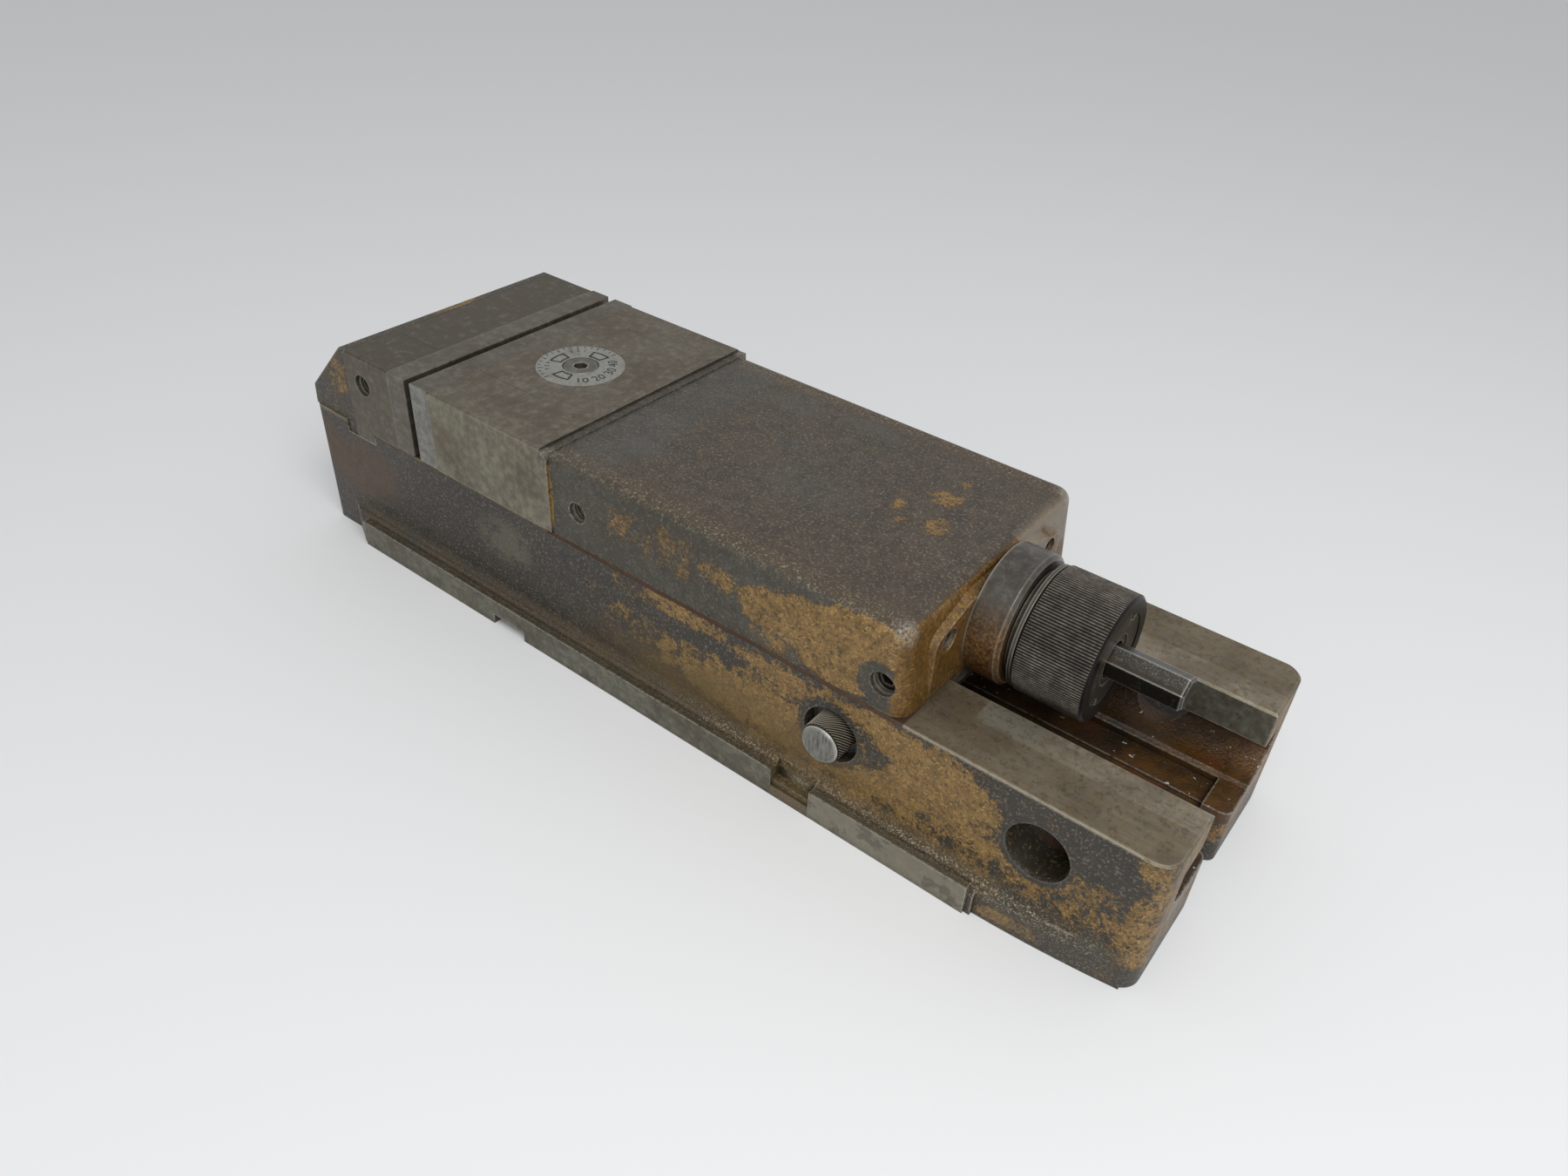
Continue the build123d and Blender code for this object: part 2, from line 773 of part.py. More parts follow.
with BuildPart() as movable_jaw_plate:
    with BuildSketch(facing_back(moving_face, 0, (rail_top + plate_lift + jaw_top) / 2)):
        Rectangle(jaw_width, jaw_height - plate_lift)
    extrude(amount=-moving_plate_thick)
    chamfer(movable_jaw_plate.faces().sort_by(Axis.X)[0].edges(), plate_chamfer)
    for side in (-1, 1):
        mouth = facing_back(moving_face, side * plate_screw_y, plate_screw_z)
        hole(mouth, moving_screw_head_r + head_clearance, moving_screw_head + plate_screw_sink)
        hole(mouth, moving_screw_r + bolt_fit, moving_plate_thick)
save(movable_jaw_plate, "movable_jaw_plate")

with BuildPart() as movable_plate_screws:
    for side in (-1, 1):
        cap_screw(
            facing_back(moving_face + plate_screw_sink, side * plate_screw_y, plate_screw_z),
            moving_screw_r,
            moving_screw_head_r,
            moving_screw_head,
            moving_plate_thick - plate_screw_sink - moving_screw_head + plate_screw_grip,
        )
save(movable_plate_screws, "movable_plate_screws")

# Dial plate let into the head, with the setting screw in its middle
with BuildPart() as dial_plate:
    with BuildSketch(facing_up(dial_place, 0, jaw_top - dial_sink - dial_thick)):
        Circle(dial_r - slide_fit)
        Circle(dial_screw_r + dial_fit, mode=Mode.SUBTRACT)
    extrude(amount=dial_thick)
save(dial_plate, "dial_plate")

with BuildPart() as dial_screw:
    with BuildSketch(facing_up(dial_place, 0, jaw_top - dial_sink)):
        Circle(dial_screw_r)
    extrude(amount=-dial_head)
    chamfer(dial_screw.faces().sort_by(Axis.Z)[-1].edges(), plate_chamfer)
    with BuildSketch(facing_up(dial_place, 0, jaw_top - dial_sink - dial_head)):
        Circle(dial_shank_r)
    extrude(amount=-dial_shank)
    with BuildSketch(facing_up(dial_place, 0, jaw_top - dial_sink)):
        RegularPolygon(dial_socket / 2, 6, major_radius=False)
    extrude(amount=-dial_socket_depth, mode=Mode.SUBTRACT)
save(dial_screw, "dial_screw")

# Keeper strips under the lips of the rails
for label, side in (("keeper_left", 1), ("keeper_right", -1)):
    with BuildPart() as keeper:
        with BuildSketch(Plane.XY.offset(keeper_top)):
            with Locations(((tongue_front + keeper_rear) / 2, side * (keeper_inner + keeper_outer) / 2)):
                Rectangle(keeper_rear - tongue_front, keeper_outer - keeper_inner)
        extrude(amount=-keeper_thick)
        for place in keeper_screw_places:
            below = facing_down(place, side * keeper_screw_y, keeper_top - keeper_thick)
            hole(below, keeper_screw_head_r + bolt_fit, keeper_screw_sink)
            hole(below, keeper_screw_r + bolt_fit, keeper_thick)
    save(keeper, label)

with BuildPart() as keeper_screws:
    for place in keeper_screw_places:
        for side in (-1, 1):
            cap_screw(
                facing_down(
                    place, side * keeper_screw_y, keeper_top - keeper_thick + keeper_screw_sink - keeper_screw_head
                ),
                keeper_screw_r,
                keeper_screw_head_r,
                keeper_screw_head,
                keeper_thick - keeper_screw_sink + keeper_screw_grip,
            )
save(keeper_screws, "keeper_screws")

# Set screws in the rear side holes
with BuildPart() as side_set_screws:
    for side in (-1, 1):
        outer = side_face(*rear_side_tap, side, housing_half - set_screw_sink)
        with BuildSketch(outer) as body_section:
            Circle(tap_r - thread_fit)
        extrude(body_section.sketch, amount=-set_screw_length)
        with BuildSketch(outer) as socket_section:
            RegularPolygon(set_screw_socket / 2, 6, major_radius=False)
        extrude(socket_section.sketch, amount=-set_screw_length / 2, mode=Mode.SUBTRACT)
save(side_set_screws, "side_set_screws")

# Nut block on the locking pin: foot between the guide faces, round head above the rails
with BuildPart() as nut_block:
    with BuildSketch(Plane.YZ.offset(pin_place - nut_length / 2)):
        with Locations((0, (nut_foot_z + nut_foot_top) / 2)):
            Rectangle(2 * nut_foot_half, nut_foot_top - nut_foot_z)
    extrude(amount=nut_length)
    with BuildSketch(Plane.YZ.offset(pin_place - nut_length / 2)):
        with Locations((0, (nut_foot_top + nut_top) / 2)):
            Rectangle(2 * nut_half, nut_top - nut_foot_top)
    extrude(amount=nut_length)
    top_edges = nut_block.edges().filter_by(Axis.X).filter_by_position(Axis.Z, nut_top - 0.01, nut_top + 0.01)
    fillet(top_edges, nut_round)
    bore(pin_place - nut_length / 2, pin_place + nut_length / 2, spindle_r + turn_fit + bush_wall)
    hole(side_face(pin_place, pin_height, -1, nut_foot_half), pin_r, 2 * nut_foot_half)
save(nut_block, "nut_block")

with BuildPart() as nut_bush:
    ring(pin_place - nut_length / 2, pin_place + nut_length / 2, spindle_r + bush_wall, spindle_r + turn_fit)
save(nut_bush, "nut_bush")

# Locking pin: shank through both walls and the nut block, knurled grip outside
with BuildPart() as locking_pin:
    with BuildSketch(side_face(pin_place, pin_height, -1, half_width - shank_inset)):
        Circle(pin_r - turn_fit)
    extrude(amount=-(jaw_width - shank_inset - shank_end))
    with BuildSketch(side_face(pin_place, pin_height, -1, grip_reach)):
        Circle(grip_r)
    extrude(amount=-(grip_reach - half_width + shank_inset))
    ends = locking_pin.faces().filter_by(Axis.Y).sort_by(Axis.Y)
    chamfer(ends[0].edges() + ends[-1].edges(), pin_chamfer)
save(locking_pin, "locking_pin")

# Bearing collar screwed into the rear wall
with BuildPart() as bearing_collar:
    ring(pad_face, collar_rear, collar_r)
    chamfer(bearing_collar.faces().sort_by(Axis.X)[-1].edges(), collar_chamfer)
    ring(cavity_rear, pad_face, collar_spigot_r)
    bore(cavity_rear, collar_shoulder, flange_r + face_gap)
    bore(collar_shoulder, collar_rear, spindle_r + turn_fit + bush_wall)
save(bearing_collar, "bearing_collar")

with BuildPart() as bearing_bush:
    ring(collar_shoulder, collar_rear, spindle_r + bush_wall, spindle_r + turn_fit)
save(bearing_bush, "bearing_bush")

# Thrust bearing behind the flange: two washers with rollers between them
with BuildPart() as thrust_washers:
    ring(thrust_front, thrust_front + washer_thick, washer_outer_r, washer_inner_r)
    ring(collar_shoulder - washer_thick, collar_shoulder, washer_outer_r, washer_inner_r)
save(thrust_washers, "thrust_washers")

with BuildPart() as thrust_rollers:
    orbit = (washer_inner_r + washer_outer_r) / 2
    for index in range(roller_count):
        turn = 2 * math.pi * index / roller_count
        radial = Vector(0, math.cos(turn), math.sin(turn))
        middle = Vector((thrust_front + collar_shoulder) / 2, 0, spindle_height) + radial * orbit
        with BuildSketch(Plane(origin=middle, x_dir=(1, 0, 0), z_dir=radial)):
            Circle(roller_r)
        extrude(amount=roller_length / 2, both=True)
save(thrust_rollers, "thrust_rollers")

# Booster: rollers between a pressure plate and a cup, held back by disc springs
with BuildPart() as pressure_plate:
    ring(booster_front, roller_track, booster_r)
    bore(roller_track - ramp_depth, roller_track, ramp_r)
save(pressure_plate, "pressure_plate")

with BuildPart() as booster_rollers:
    for index in range(booster_roller_count):
        turn = 2 * math.pi * index / booster_roller_count + math.pi / 2
        radial = Vector(0, math.cos(turn), math.sin(turn))
        tangent = Vector(0, -math.sin(turn), math.cos(turn))
        middle = Vector(roller_track + cup_skirt / 2, 0, spindle_height) + radial * booster_roller_orbit
        with BuildSketch(Plane(origin=middle, x_dir=(1, 0, 0), z_dir=tangent)):
            Circle(booster_roller_r)
        extrude(amount=booster_roller_length / 2, both=True)
save(booster_rollers, "booster_rollers")

with BuildPart() as booster_cup:
    ring(roller_track, cup_shoulder, booster_r)
    ring(cup_shoulder, cup_rear, cup_neck_r)
    bore(roller_track, roller_track + cup_skirt, cup_recess_r)
    bore(roller_track, cup_rear, cup_bore_r)
save(booster_cup, "booster_cup")

with BuildPart() as disc_springs:
    for index in range(disc_spring_count):
        inner_x = cup_shoulder + index * disc_spring_pitch + (disc_spring_rise if index % 2 else 0)
        outer_x = cup_shoulder + index * disc_spring_pitch + (0 if index % 2 else disc_spring_rise)
        with BuildSketch(Plane.XZ):
            with BuildLine():
                Polyline(
                    (inner_x, spindle_height + disc_spring_inner_r),
                    (outer_x, spindle_height + booster_r - face_gap),
                    (outer_x + disc_spring_thick, spindle_height + booster_r - face_gap),
                    (inner_x + disc_spring_thick, spindle_height + disc_spring_inner_r),
                    (inner_x, spindle_height + disc_spring_inner_r),
                )
            make_face()
        revolve(axis=Axis((0, 0, spindle_height), (1, 0, 0)))
save(disc_springs, "disc_springs")

with BuildPart() as booster_retainer:
    ring(cavity_front - retainer_thick, cavity_front, booster_r + turn_fit, disc_spring_inner_r)
save(booster_retainer, "booster_retainer")

with BuildPart() as front_thrust_washer:
    ring(cup_rear, spindle_front - slide_fit, front_washer_r, cup_bore_r)
save(front_thrust_washer, "front_thrust_washer")

# Hollow spindle with its thrust flange
with BuildPart() as spindle_tube:
    ring(spindle_front, spindle_rear, spindle_r)
    ring(flange_front, flange_front + flange_thick, flange_r)
    bore(spindle_front, spindle_rear, spindle_bore_r)
save(spindle_tube, "spindle_tube")

# Stepped spacer ring that leaves the dark groove behind the collar
with BuildPart() as spacer_ring:
    ring(spacer_front, spacer_flange_front, spacer_hub_r)
    ring(spacer_flange_front, spacer_rear, spacer_r)
    bore(spacer_front, spacer_rear, spindle_r + thread_fit)
save(spacer_ring, "spacer_ring")

# Knurled sleeve: fine straight teeth, chamfered at both ends, hollow inside
with BuildPart() as coupling_sleeve:
    with BuildSketch(across(sleeve_front)):
        with BuildLine():
            tooth_points = []
            for index in range(2 * sleeve_teeth):
                turn = math.pi * index / sleeve_teeth
                radius = sleeve_r - tooth_depth * (index % 2)
                tooth_points.append((radius * math.cos(turn), radius * math.sin(turn)))
            Polyline(*tooth_points, close=True)
        make_face()
    extrude(amount=sleeve_rear - sleeve_front)
    with BuildSketch(Plane.XZ):
        with BuildLine():
            Polyline(
                (sleeve_front, spindle_height),
                (sleeve_front, spindle_height + sleeve_r - sleeve_front_chamfer),
                (sleeve_front + sleeve_front_chamfer, spindle_height + sleeve_r),
                (sleeve_rear - sleeve_rear_chamfer, spindle_height + sleeve_r),
                (sleeve_rear, spindle_height + sleeve_r - sleeve_rear_chamfer),
                (sleeve_rear, spindle_height),
                (sleeve_front, spindle_height),
            )
        make_face()
    revolve(axis=Axis((0, 0, spindle_height), (1, 0, 0)), mode=Mode.INTERSECT)
    bore(sleeve_front, sleeve_rear, spindle_r + turn_fit)
    bore(sleeve_front + sleeve_hub, sleeve_rear, sleeve_cavity_r)
    bore(end_ring_front, sleeve_rear, end_ring_r + thread_fit)
save(coupling_sleeve, "coupling_sleeve")

# End ring screwed into the sleeve, with two spanner notches
with BuildPart() as sleeve_end_ring:
    ring(end_ring_front, end_ring_rear, end_ring_r, end_ring_bore_r)
    bore(end_ring_rear - end_ring_step, end_ring_rear, end_ring_step_r)
    with BuildSketch(across(end_ring_rear)):
        with PolarLocations(end_ring_r, 2, start_angle=spanner_notch_turn):
            Rectangle(2 * spanner_notch_depth, spanner_notch_width)
    extrude(amount=-end_ring_thick / 2, mode=Mode.SUBTRACT)
save(sleeve_end_ring, "sleeve_end_ring")

# Drive shaft: threaded spigot, round shank in the spindle, hexagon for the crank
with BuildPart() as drive_shaft:
    ring(drive_spigot_front, drive_shank_front, drive_spigot_r)
    ring(drive_shank_front, hex_front, spindle_bore_r - turn_fit)
    with BuildSketch(across(hex_front)):
        RegularPolygon(hex_across_flats / 2, 6, major_radius=False, rotation=hex_turn)
    extrude(amount=hex_rear - hex_front)
    chamfer(drive_shaft.faces().sort_by(Axis.X)[-1].edges(), hex_chamfer)
save(drive_shaft, "drive_shaft")

# Clutch ring and its spring inside the sleeve
with BuildPart() as clutch_ring:
    ring(clutch_front, clutch_front + clutch_thick, clutch_r)
    with BuildSketch(across(clutch_front)):
        RegularPolygon(hex_across_flats / 2 + thread_fit, 6, major_radius=False, rotation=hex_turn)
    extrude(amount=clutch_thick, mode=Mode.SUBTRACT)
save(clutch_ring, "clutch_ring")

spring_start = clutch_front + clutch_thick + clutch_wire_r + slide_fit
spring_rise = end_ring_front - face_gap - clutch_wire_r - spring_start
with BuildPart() as clutch_spring:
    with BuildLine():
        coil = Helix(
            pitch=spring_rise / clutch_spring_turns,
            height=spring_rise,
            radius=clutch_spring_r,
            center=(spring_start, 0, spindle_height),
            direction=(1, 0, 0),
        )
    with BuildSketch(Plane(origin=coil @ 0, z_dir=coil % 0)):
        Circle(clutch_wire_r)
    sweep()
save(clutch_spring, "clutch_spring")

# Thrust rod with its wedge cone, bored for the drive shaft's spigot
with BuildPart() as thrust_rod:
    with BuildSketch(Plane.XZ):
        with BuildLine():
            Polyline(
                (rod_tip, spindle_height),
                (rod_tip, spindle_height + rod_tip_r),
                (rod_wedge_root, spindle_height + rod_wedge_r),
                (rod_wedge_root + rod_wedge_land, spindle_height + rod_wedge_r),
                (rod_wedge_root + rod_wedge_land, spindle_height + rod_r),
                (rod_rear, spindle_height + rod_r),
                (rod_rear, spindle_height),
                (rod_tip, spindle_height),
            )
        make_face()
    revolve(axis=Axis((0, 0, spindle_height), (1, 0, 0)))
    bore(rod_rear - rod_bore_depth, rod_rear, rod_bore_r)
save(thrust_rod, "thrust_rod")
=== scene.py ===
import math
from functools import partial
import bmesh
import bpy
from mathutils import Matrix, Vector


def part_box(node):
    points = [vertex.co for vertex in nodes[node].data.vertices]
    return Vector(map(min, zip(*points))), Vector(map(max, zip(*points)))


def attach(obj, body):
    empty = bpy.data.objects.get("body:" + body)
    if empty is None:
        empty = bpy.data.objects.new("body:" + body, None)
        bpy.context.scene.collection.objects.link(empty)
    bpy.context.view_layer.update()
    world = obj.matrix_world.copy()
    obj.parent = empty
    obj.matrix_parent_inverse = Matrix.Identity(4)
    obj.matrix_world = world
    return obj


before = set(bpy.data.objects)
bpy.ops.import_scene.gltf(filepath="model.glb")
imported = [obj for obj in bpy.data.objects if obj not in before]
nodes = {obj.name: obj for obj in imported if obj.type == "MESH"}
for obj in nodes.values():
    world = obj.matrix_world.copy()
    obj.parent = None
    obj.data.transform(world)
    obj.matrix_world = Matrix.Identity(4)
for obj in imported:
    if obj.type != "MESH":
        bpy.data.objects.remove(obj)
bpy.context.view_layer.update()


def mm(value):
    """Millimetres as metres."""
    return value / 1000


# Places worked out from the frame
clamp_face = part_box("fixed_jaw_plate")[1].x
half_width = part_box("fixed_jaw_plate")[1].y
rail_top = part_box("fixed_jaw_plate")[0].z - mm(0.3)
spindle_height = (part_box("bearing_collar")[0].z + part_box("bearing_collar")[1].z) / 2
pin_low, pin_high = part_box("locking_pin")
dial_low, dial_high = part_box("dial_plate")
dial_middle = (dial_low + dial_high) / 2


def place(x, y, z):
    """A point in metres, from millimetres behind the clamping face, across, and above the table."""
    return (clamp_face + mm(x), mm(y), mm(z))


# Places used more than once, in millimetres behind the clamping face and above the table
pin_hole_x, spare_hole_x, cross_hole_z = 234.3, 319.7, 40
set_screw_x, set_screw_z = 252.5, 75.1
past_bed_end = 366

# Values that several finishes share: depth of the cast grain, mean roughness of ground steel
grain_depth = mm(1.1)
mean_roughness = 0.46

# Camera, fitted to the vise's own edges in the photograph
camera_data = bpy.data.cameras.new("photo_camera")
camera_data.sensor_width = 36
camera_data.lens = 26.365
camera = bpy.data.objects.new("photo_camera", camera_data)
camera.location = (0.25165, -0.32203, 0.33701)
camera.rotation_euler = [math.radians(angle) for angle in (52.822, -2.914, 37.925)]
bpy.context.scene.collection.objects.link(camera)
bpy.context.scene.camera = camera
bpy.context.scene.view_settings.view_transform = "Standard"


# Helpers for node trees; each finds its tree from the sockets given to it
def srgb(red, green, blue):
    """A colour given in 0 to 255 screen values, as linear light."""
    linear = [v / 255 / 12.92 if v <= 10 else ((v / 255 + 0.055) / 1.055) ** 2.4 for v in (red, green, blue)]
    return (*linear, 1)


def plug(node, feeds):
    """Feeds a node's inputs with values or with other nodes' outputs."""
    for key, value in feeds.items():
        if isinstance(value, bpy.types.NodeSocket):
            node.id_data.links.new(value, node.inputs[key])
        else:
            node.inputs[key].default_value = value


def wire(kind, feeds, tree=None, **settings):
    """Adds a node beside the first node that feeds it, sets its options and feeds its inputs."""
    if tree is None:
        tree = next(value.id_data for value in feeds.values() if isinstance(value, bpy.types.NodeSocket))
    node = tree.nodes.new("ShaderNode" + kind)
    for name, value in settings.items():
        setattr(node, name, value)
    plug(node, feeds)
    return node


def calc(operation, first, second=0.0):
    """One step of arithmetic on two values."""
    return wire("Math", {0: first, 1: second}, operation=operation).outputs[0]


def share(mask, amount):
    """The mask made weaker."""
    return calc("MULTIPLY", mask, amount)


def vector_calc(operation, first, second=(0, 0, 0)):
    """One step of arithmetic on two vectors."""
    return wire("VectorMath", {0: first, 1: second}, operation=operation).outputs[0]


def split(vector):
    """The three parts of a vector."""
    return wire("SeparateXYZ", {0: vector}).outputs


def length(vector):
    """How long a vector is."""
    return wire("VectorMath", {0: vector}, operation="LENGTH").outputs[1]


def blend(mask, below, above):
    """Colour below where the mask is 0, colour above where it is 1."""
    return wire("Mix", {0: mask, 6: below, 7: above}, data_type="RGBA").outputs[2]


def tint(colour, mask, strength, tone):
    """The colour with a tone laid over it where the mask is, at the given strength."""
    return blend(share(mask, strength), colour, tone)


def fade(mask, below, above):
    """Value below where the mask is 0, value above where it is 1."""
    return wire("Mix", {0: mask, 2: below, 3: above}, data_type="FLOAT").outputs[0]


def step(value, low, high, start=0.0, end=1.0):
    """A soft step from start at low to end at high."""
    feeds = {0: value, 1: low, 2: high, 3: start, 4: end}
    return wire("MapRange", feeds, interpolation_type="SMOOTHSTEP").outputs[0]


def ramp(value, low, high, start, end):
    """A straight ramp from start at low to end at high."""
    return wire("MapRange", {0: value, 1: low, 2: high, 3: start, 4: end}).outputs[0]


def noise(vector, scale, detail, rough=0.55):
    """Cloudy noise, with scale in waves per metre."""
    feeds = {"Vector": vector, "Scale": scale, "Detail": detail, "Roughness": rough}
    return wire("TexNoise", feeds).outputs[0]


def flecks(vector, scale, detail, rough, low, high, start=0.0, end=1.0):
    """Cloudy noise cut into soft-edged flecks by a step from low to high."""
    return step(noise(vector, scale, detail, rough), low, high, start, end)


def either(*masks):
    """The strongest of several masks."""
    result = masks[0]
    for mask in masks[1:]:
        result = calc("MAXIMUM", result, mask)
    return result


def both(*masks):
    """The product of several masks."""
    result = masks[0]
    for mask in masks[1:]:
        result = calc("MULTIPLY", result, mask)
    return result


def without(mask, amount=1.0):
    """One less the mask."""
    return calc("SUBTRACT", 1.0, share(mask, amount))


def new_group(name, inputs, outputs):
    """An empty node group with named sockets, and its input and output nodes."""
    tree = bpy.data.node_groups.new(name, "ShaderNodeTree")
    for label, kind, value in inputs:
        socket = tree.interface.new_socket(label, in_out="INPUT", socket_type="NodeSocket" + kind)
        if value is not None:
            socket.default_value = value
    for label, kind in outputs:
        tree.interface.new_socket(label, in_out="OUTPUT", socket_type="NodeSocket" + kind)
    return tree, tree.nodes.new("NodeGroupInput").outputs, tree.nodes.new("NodeGroupOutput").inputs


def use(group, feeds, tree=None):
    """Places a node group in a material and gives its outputs."""
    return wire("Group", feeds, tree, node_tree=group).outputs[:]


# Shared effects
def make_zone_box():
    """Mask that is 1 inside a box and fades to 0 over the soft width."""
    tree, given, result = new_group(
        "zone_box",
        [("Place", "Vector", None), ("Middle", "Vector", None), ("Half", "Vector", None), ("Soft", "Float", 0.001)],
        [("Mask", "Float")],
    )
    away = vector_calc("SUBTRACT", given["Place"], given["Middle"])
    outside = vector_calc("SUBTRACT", vector_calc("ABSOLUTE", away), given["Half"])
    sides = split(outside)
    furthest = either(sides[0], sides[1], sides[2])
    half_soft = calc("MULTIPLY", given["Soft"], 0.5)
    low = calc("MULTIPLY", half_soft, -1.0)
    tree.links.new(step(furthest, low, half_soft, 1.0, 0.0), result["Mask"])
    return tree


def make_zone_spot():
    """Mask that is 1 in the middle of an ellipsoid and fades to 0 at its edge."""
    tree, given, result = new_group(
        "zone_spot",
        [
            ("Place", "Vector", None), ("Middle", "Vector", None), ("Reach", "Vector", (1, 1, 1)),
            ("Core", "Float", 0.4),
        ],
        [("Mask", "Float")],
    )
    away = vector_calc("DIVIDE", vector_calc("SUBTRACT", given["Place"], given["Middle"]), given["Reach"])
    tree.links.new(step(length(away), given["Core"], 1.0, 1.0, 0.0), result["Mask"])
    return tree


def make_flaked_paint():
    """Ragged mask of paint that is left: cover 0 is bare, cover 1 is whole."""
    tree, given, result = new_group(
        "flaked_paint",
        [("Place", "Vector", None), ("Cover", "Float", 0.5), ("Size", "Float", 120.0)],
        [("Mask", "Float"), ("Film", "Float")],
    )
    ragged = noise(given["Place"], given["Size"], 10.0, 0.80)
    crumbs = noise(given["Place"], calc("MULTIPLY", given["Size"], 5.0), 4.0, 0.75)
    mixed = calc("ADD", share(ragged, 0.62), share(crumbs, 0.38))
    left = calc("SUBTRACT", mixed, ramp(given["Cover"], 0.0, 1.0, 0.66, 0.34))
    tree.links.new(step(left, -0.002, 0.003), result["Mask"])
    tree.links.new(step(left, -0.06, 0.01), result["Film"])
    return tree


def make_cast_grain():
    """Fine pebbled skin of a sand casting: its height, its shade and the tips of its grains, which carry painted
    glints.
    """
    tree, given, result = new_group(
        "cast_grain",
        [("Place", "Vector", None), ("Size", "Float", 800.0)],
        [("Height", "Float"), ("Shade", "Float"), ("Tips", "Float")],
    )
    pebbles = noise(given["Place"], given["Size"], 4.0, 0.7)
    hollows = noise(given["Place"], calc("MULTIPLY", given["Size"], 0.24), 5.0, 0.65)
    tree.links.new(calc("ADD", share(pebbles, 0.6), share(hollows, 0.5)), result["Height"])
    tree.links.new(ramp(hollows, 0.35, 0.65, 0.0, 1.0), result["Shade"])
    tree.links.new(step(pebbles, 0.54, 0.63), result["Tips"])
    return tree


def make_ground_marks():
    """Fine parallel grinding marks, soft stains and pits; stretch is large across the marks."""
    tree, given, result = new_group(
        "ground_marks",
        [("Place", "Vector", None), ("Stretch", "Vector", (60, 1500, 60))],
        [("Lines", "Float"), ("Stains", "Float"), ("Clouds", "Float"), ("Pits", "Float")],
    )
    stretched = vector_calc("MULTIPLY", given["Place"], given["Stretch"])
    tree.links.new(noise(stretched, 1.0, 4.0, 0.65), result["Lines"])
    tree.links.new(flecks(given["Place"], 38.0, 7.0, 0.62, 0.44, 0.66), result["Stains"])
    tree.links.new(noise(given["Place"], 260.0, 6.0, 0.7), result["Clouds"])
    tree.links.new(flecks(given["Place"], 480.0, 2.0, 0.55, 0.68, 0.73), result["Pits"])
    return tree


def make_edge_wear():
    """Mask of the outer edges, where handling has rubbed the surface bright."""
    tree, given, result = new_group("edge_wear", [("Reach", "Float", 0.0008)], [("Mask", "Float")])
    inside = wire("AmbientOcclusion", {"Distance": given["Reach"]}, samples=6, inside=True).outputs["AO"]
    tree.links.new(step(inside, 0.70, 0.95, 1.0, 0.0), result["Mask"])
    return tree


def make_crevice_shade_and_dirt():
    """Mask of the inner corners, where dirt gathers and shade is painted."""
    tree, given, result = new_group("crevice_shade_and_dirt", [("Reach", "Float", 0.005)], [("Mask", "Float")])
    open_sky = wire("AmbientOcclusion", {"Distance": given["Reach"]}, samples=6).outputs["AO"]
    tree.links.new(step(open_sky, 0.3, 0.85, 1.0, 0.0), result["Mask"])
    return tree


zone_box = make_zone_box()
zone_spot = make_zone_spot()
flaked_paint = make_flaked_paint()
cast_grain = make_cast_grain()
ground_marks = make_ground_marks()
edge_wear = make_edge_wear()
crevice_shade_and_dirt = make_crevice_shade_and_dirt()

# Colours of the finishes
iron_dark = srgb(66, 63, 57)
iron_grey = srgb(84, 82, 76)
iron_blue = srgb(80, 82, 79)
iron_brown = srgb(80, 67, 52)
iron_glint = srgb(156, 148, 130)
bed_dark = srgb(42, 41, 37)
bed_grey = srgb(52, 51, 46)
ochre = srgb(138, 109, 60)
ochre_deep = srgb(106, 79, 38)
ochre_oiled = srgb(100, 70, 22)
steel_stain = srgb(90, 77, 61)
rust_red = srgb(84, 50, 24)
oil_amber = srgb(88, 58, 20)
# Dark tone for the inner corners: dirt and painted shade
dirt_and_shade_tone = srgb(30, 24, 17)
near_black = srgb(16, 15, 14)
bright_edge = srgb(196, 190, 176)


def start_material(name):
    """An empty material, its shader and the object's own coordinates."""
    material = bpy.data.materials.new(name)
    material.use_nodes = True
    nodes_here = material.node_tree.nodes
    return material, nodes_here["Principled BSDF"], nodes_here.new("ShaderNodeTexCoord").outputs["Object"]


def feed(shader, colour, roughness, metallic, height=None, depth=0.0001, rounded_edges=True):
    """Feeds the shader, with the height as a bump on slightly rounded edges."""
    feeds = {"Base Color": colour, "Roughness": roughness, "Metallic": metallic}
    if rounded_edges:
        feeds["Normal"] = wire("Bevel", {"Radius": mm(0.35)}, shader.id_data, samples=3).outputs[0]
        if height is not None:
            bump = {"Height": height, "Normal": feeds["Normal"], "Distance": depth, "Strength": 1.0}
            feeds["Normal"] = wire("Bump", bump).outputs[0]
    plug(shader, feeds)


def box_mask(coordinates, low, high, soft=1.0):
    """Mask of a box between two corners, in millimetres from the clamping face."""
    middle = [(place(*low)[i] + place(*high)[i]) / 2 for i in range(3)]
    half = [(place(*high)[i] - place(*low)[i]) / 2 for i in range(3)]
    return use(zone_box, {"Place": coordinates, "Middle": middle, "Half": half, "Soft": mm(soft)})[0]


def spot_mask(coordinates, middle, reach, core=0.3):
    """Mask of a soft ellipsoid, in millimetres from the clamping face."""
    feeds = {"Place": coordinates, "Middle": place(*middle), "Reach": [mm(v) for v in reach], "Core": core}
    return use(zone_spot, feeds)[0]


def spots(coordinates, *rows):
    """The strongest of several soft ellipsoids, each given as strength, middle, reach and core."""
    return either(*(share(spot_mask(coordinates, *row), strength) for strength, *row in rows))


def fold_sides(coordinates):
    """Coordinates with both flanks laid on the near one, and how far out a point lies."""
    axes = split(coordinates)
    outward = calc("ABSOLUTE", axes[1])
    near = share(outward, -1.0)
    return wire("CombineXYZ", {0: axes[0], 1: near, 2: axes[2]}).outputs[0], outward


def worn_edges(socket):
    """Mask of the outer edges that are rubbed bright, in the tree of the given socket."""
    return use(edge_wear, {"Reach": mm(0.8)}, socket.id_data)[0]


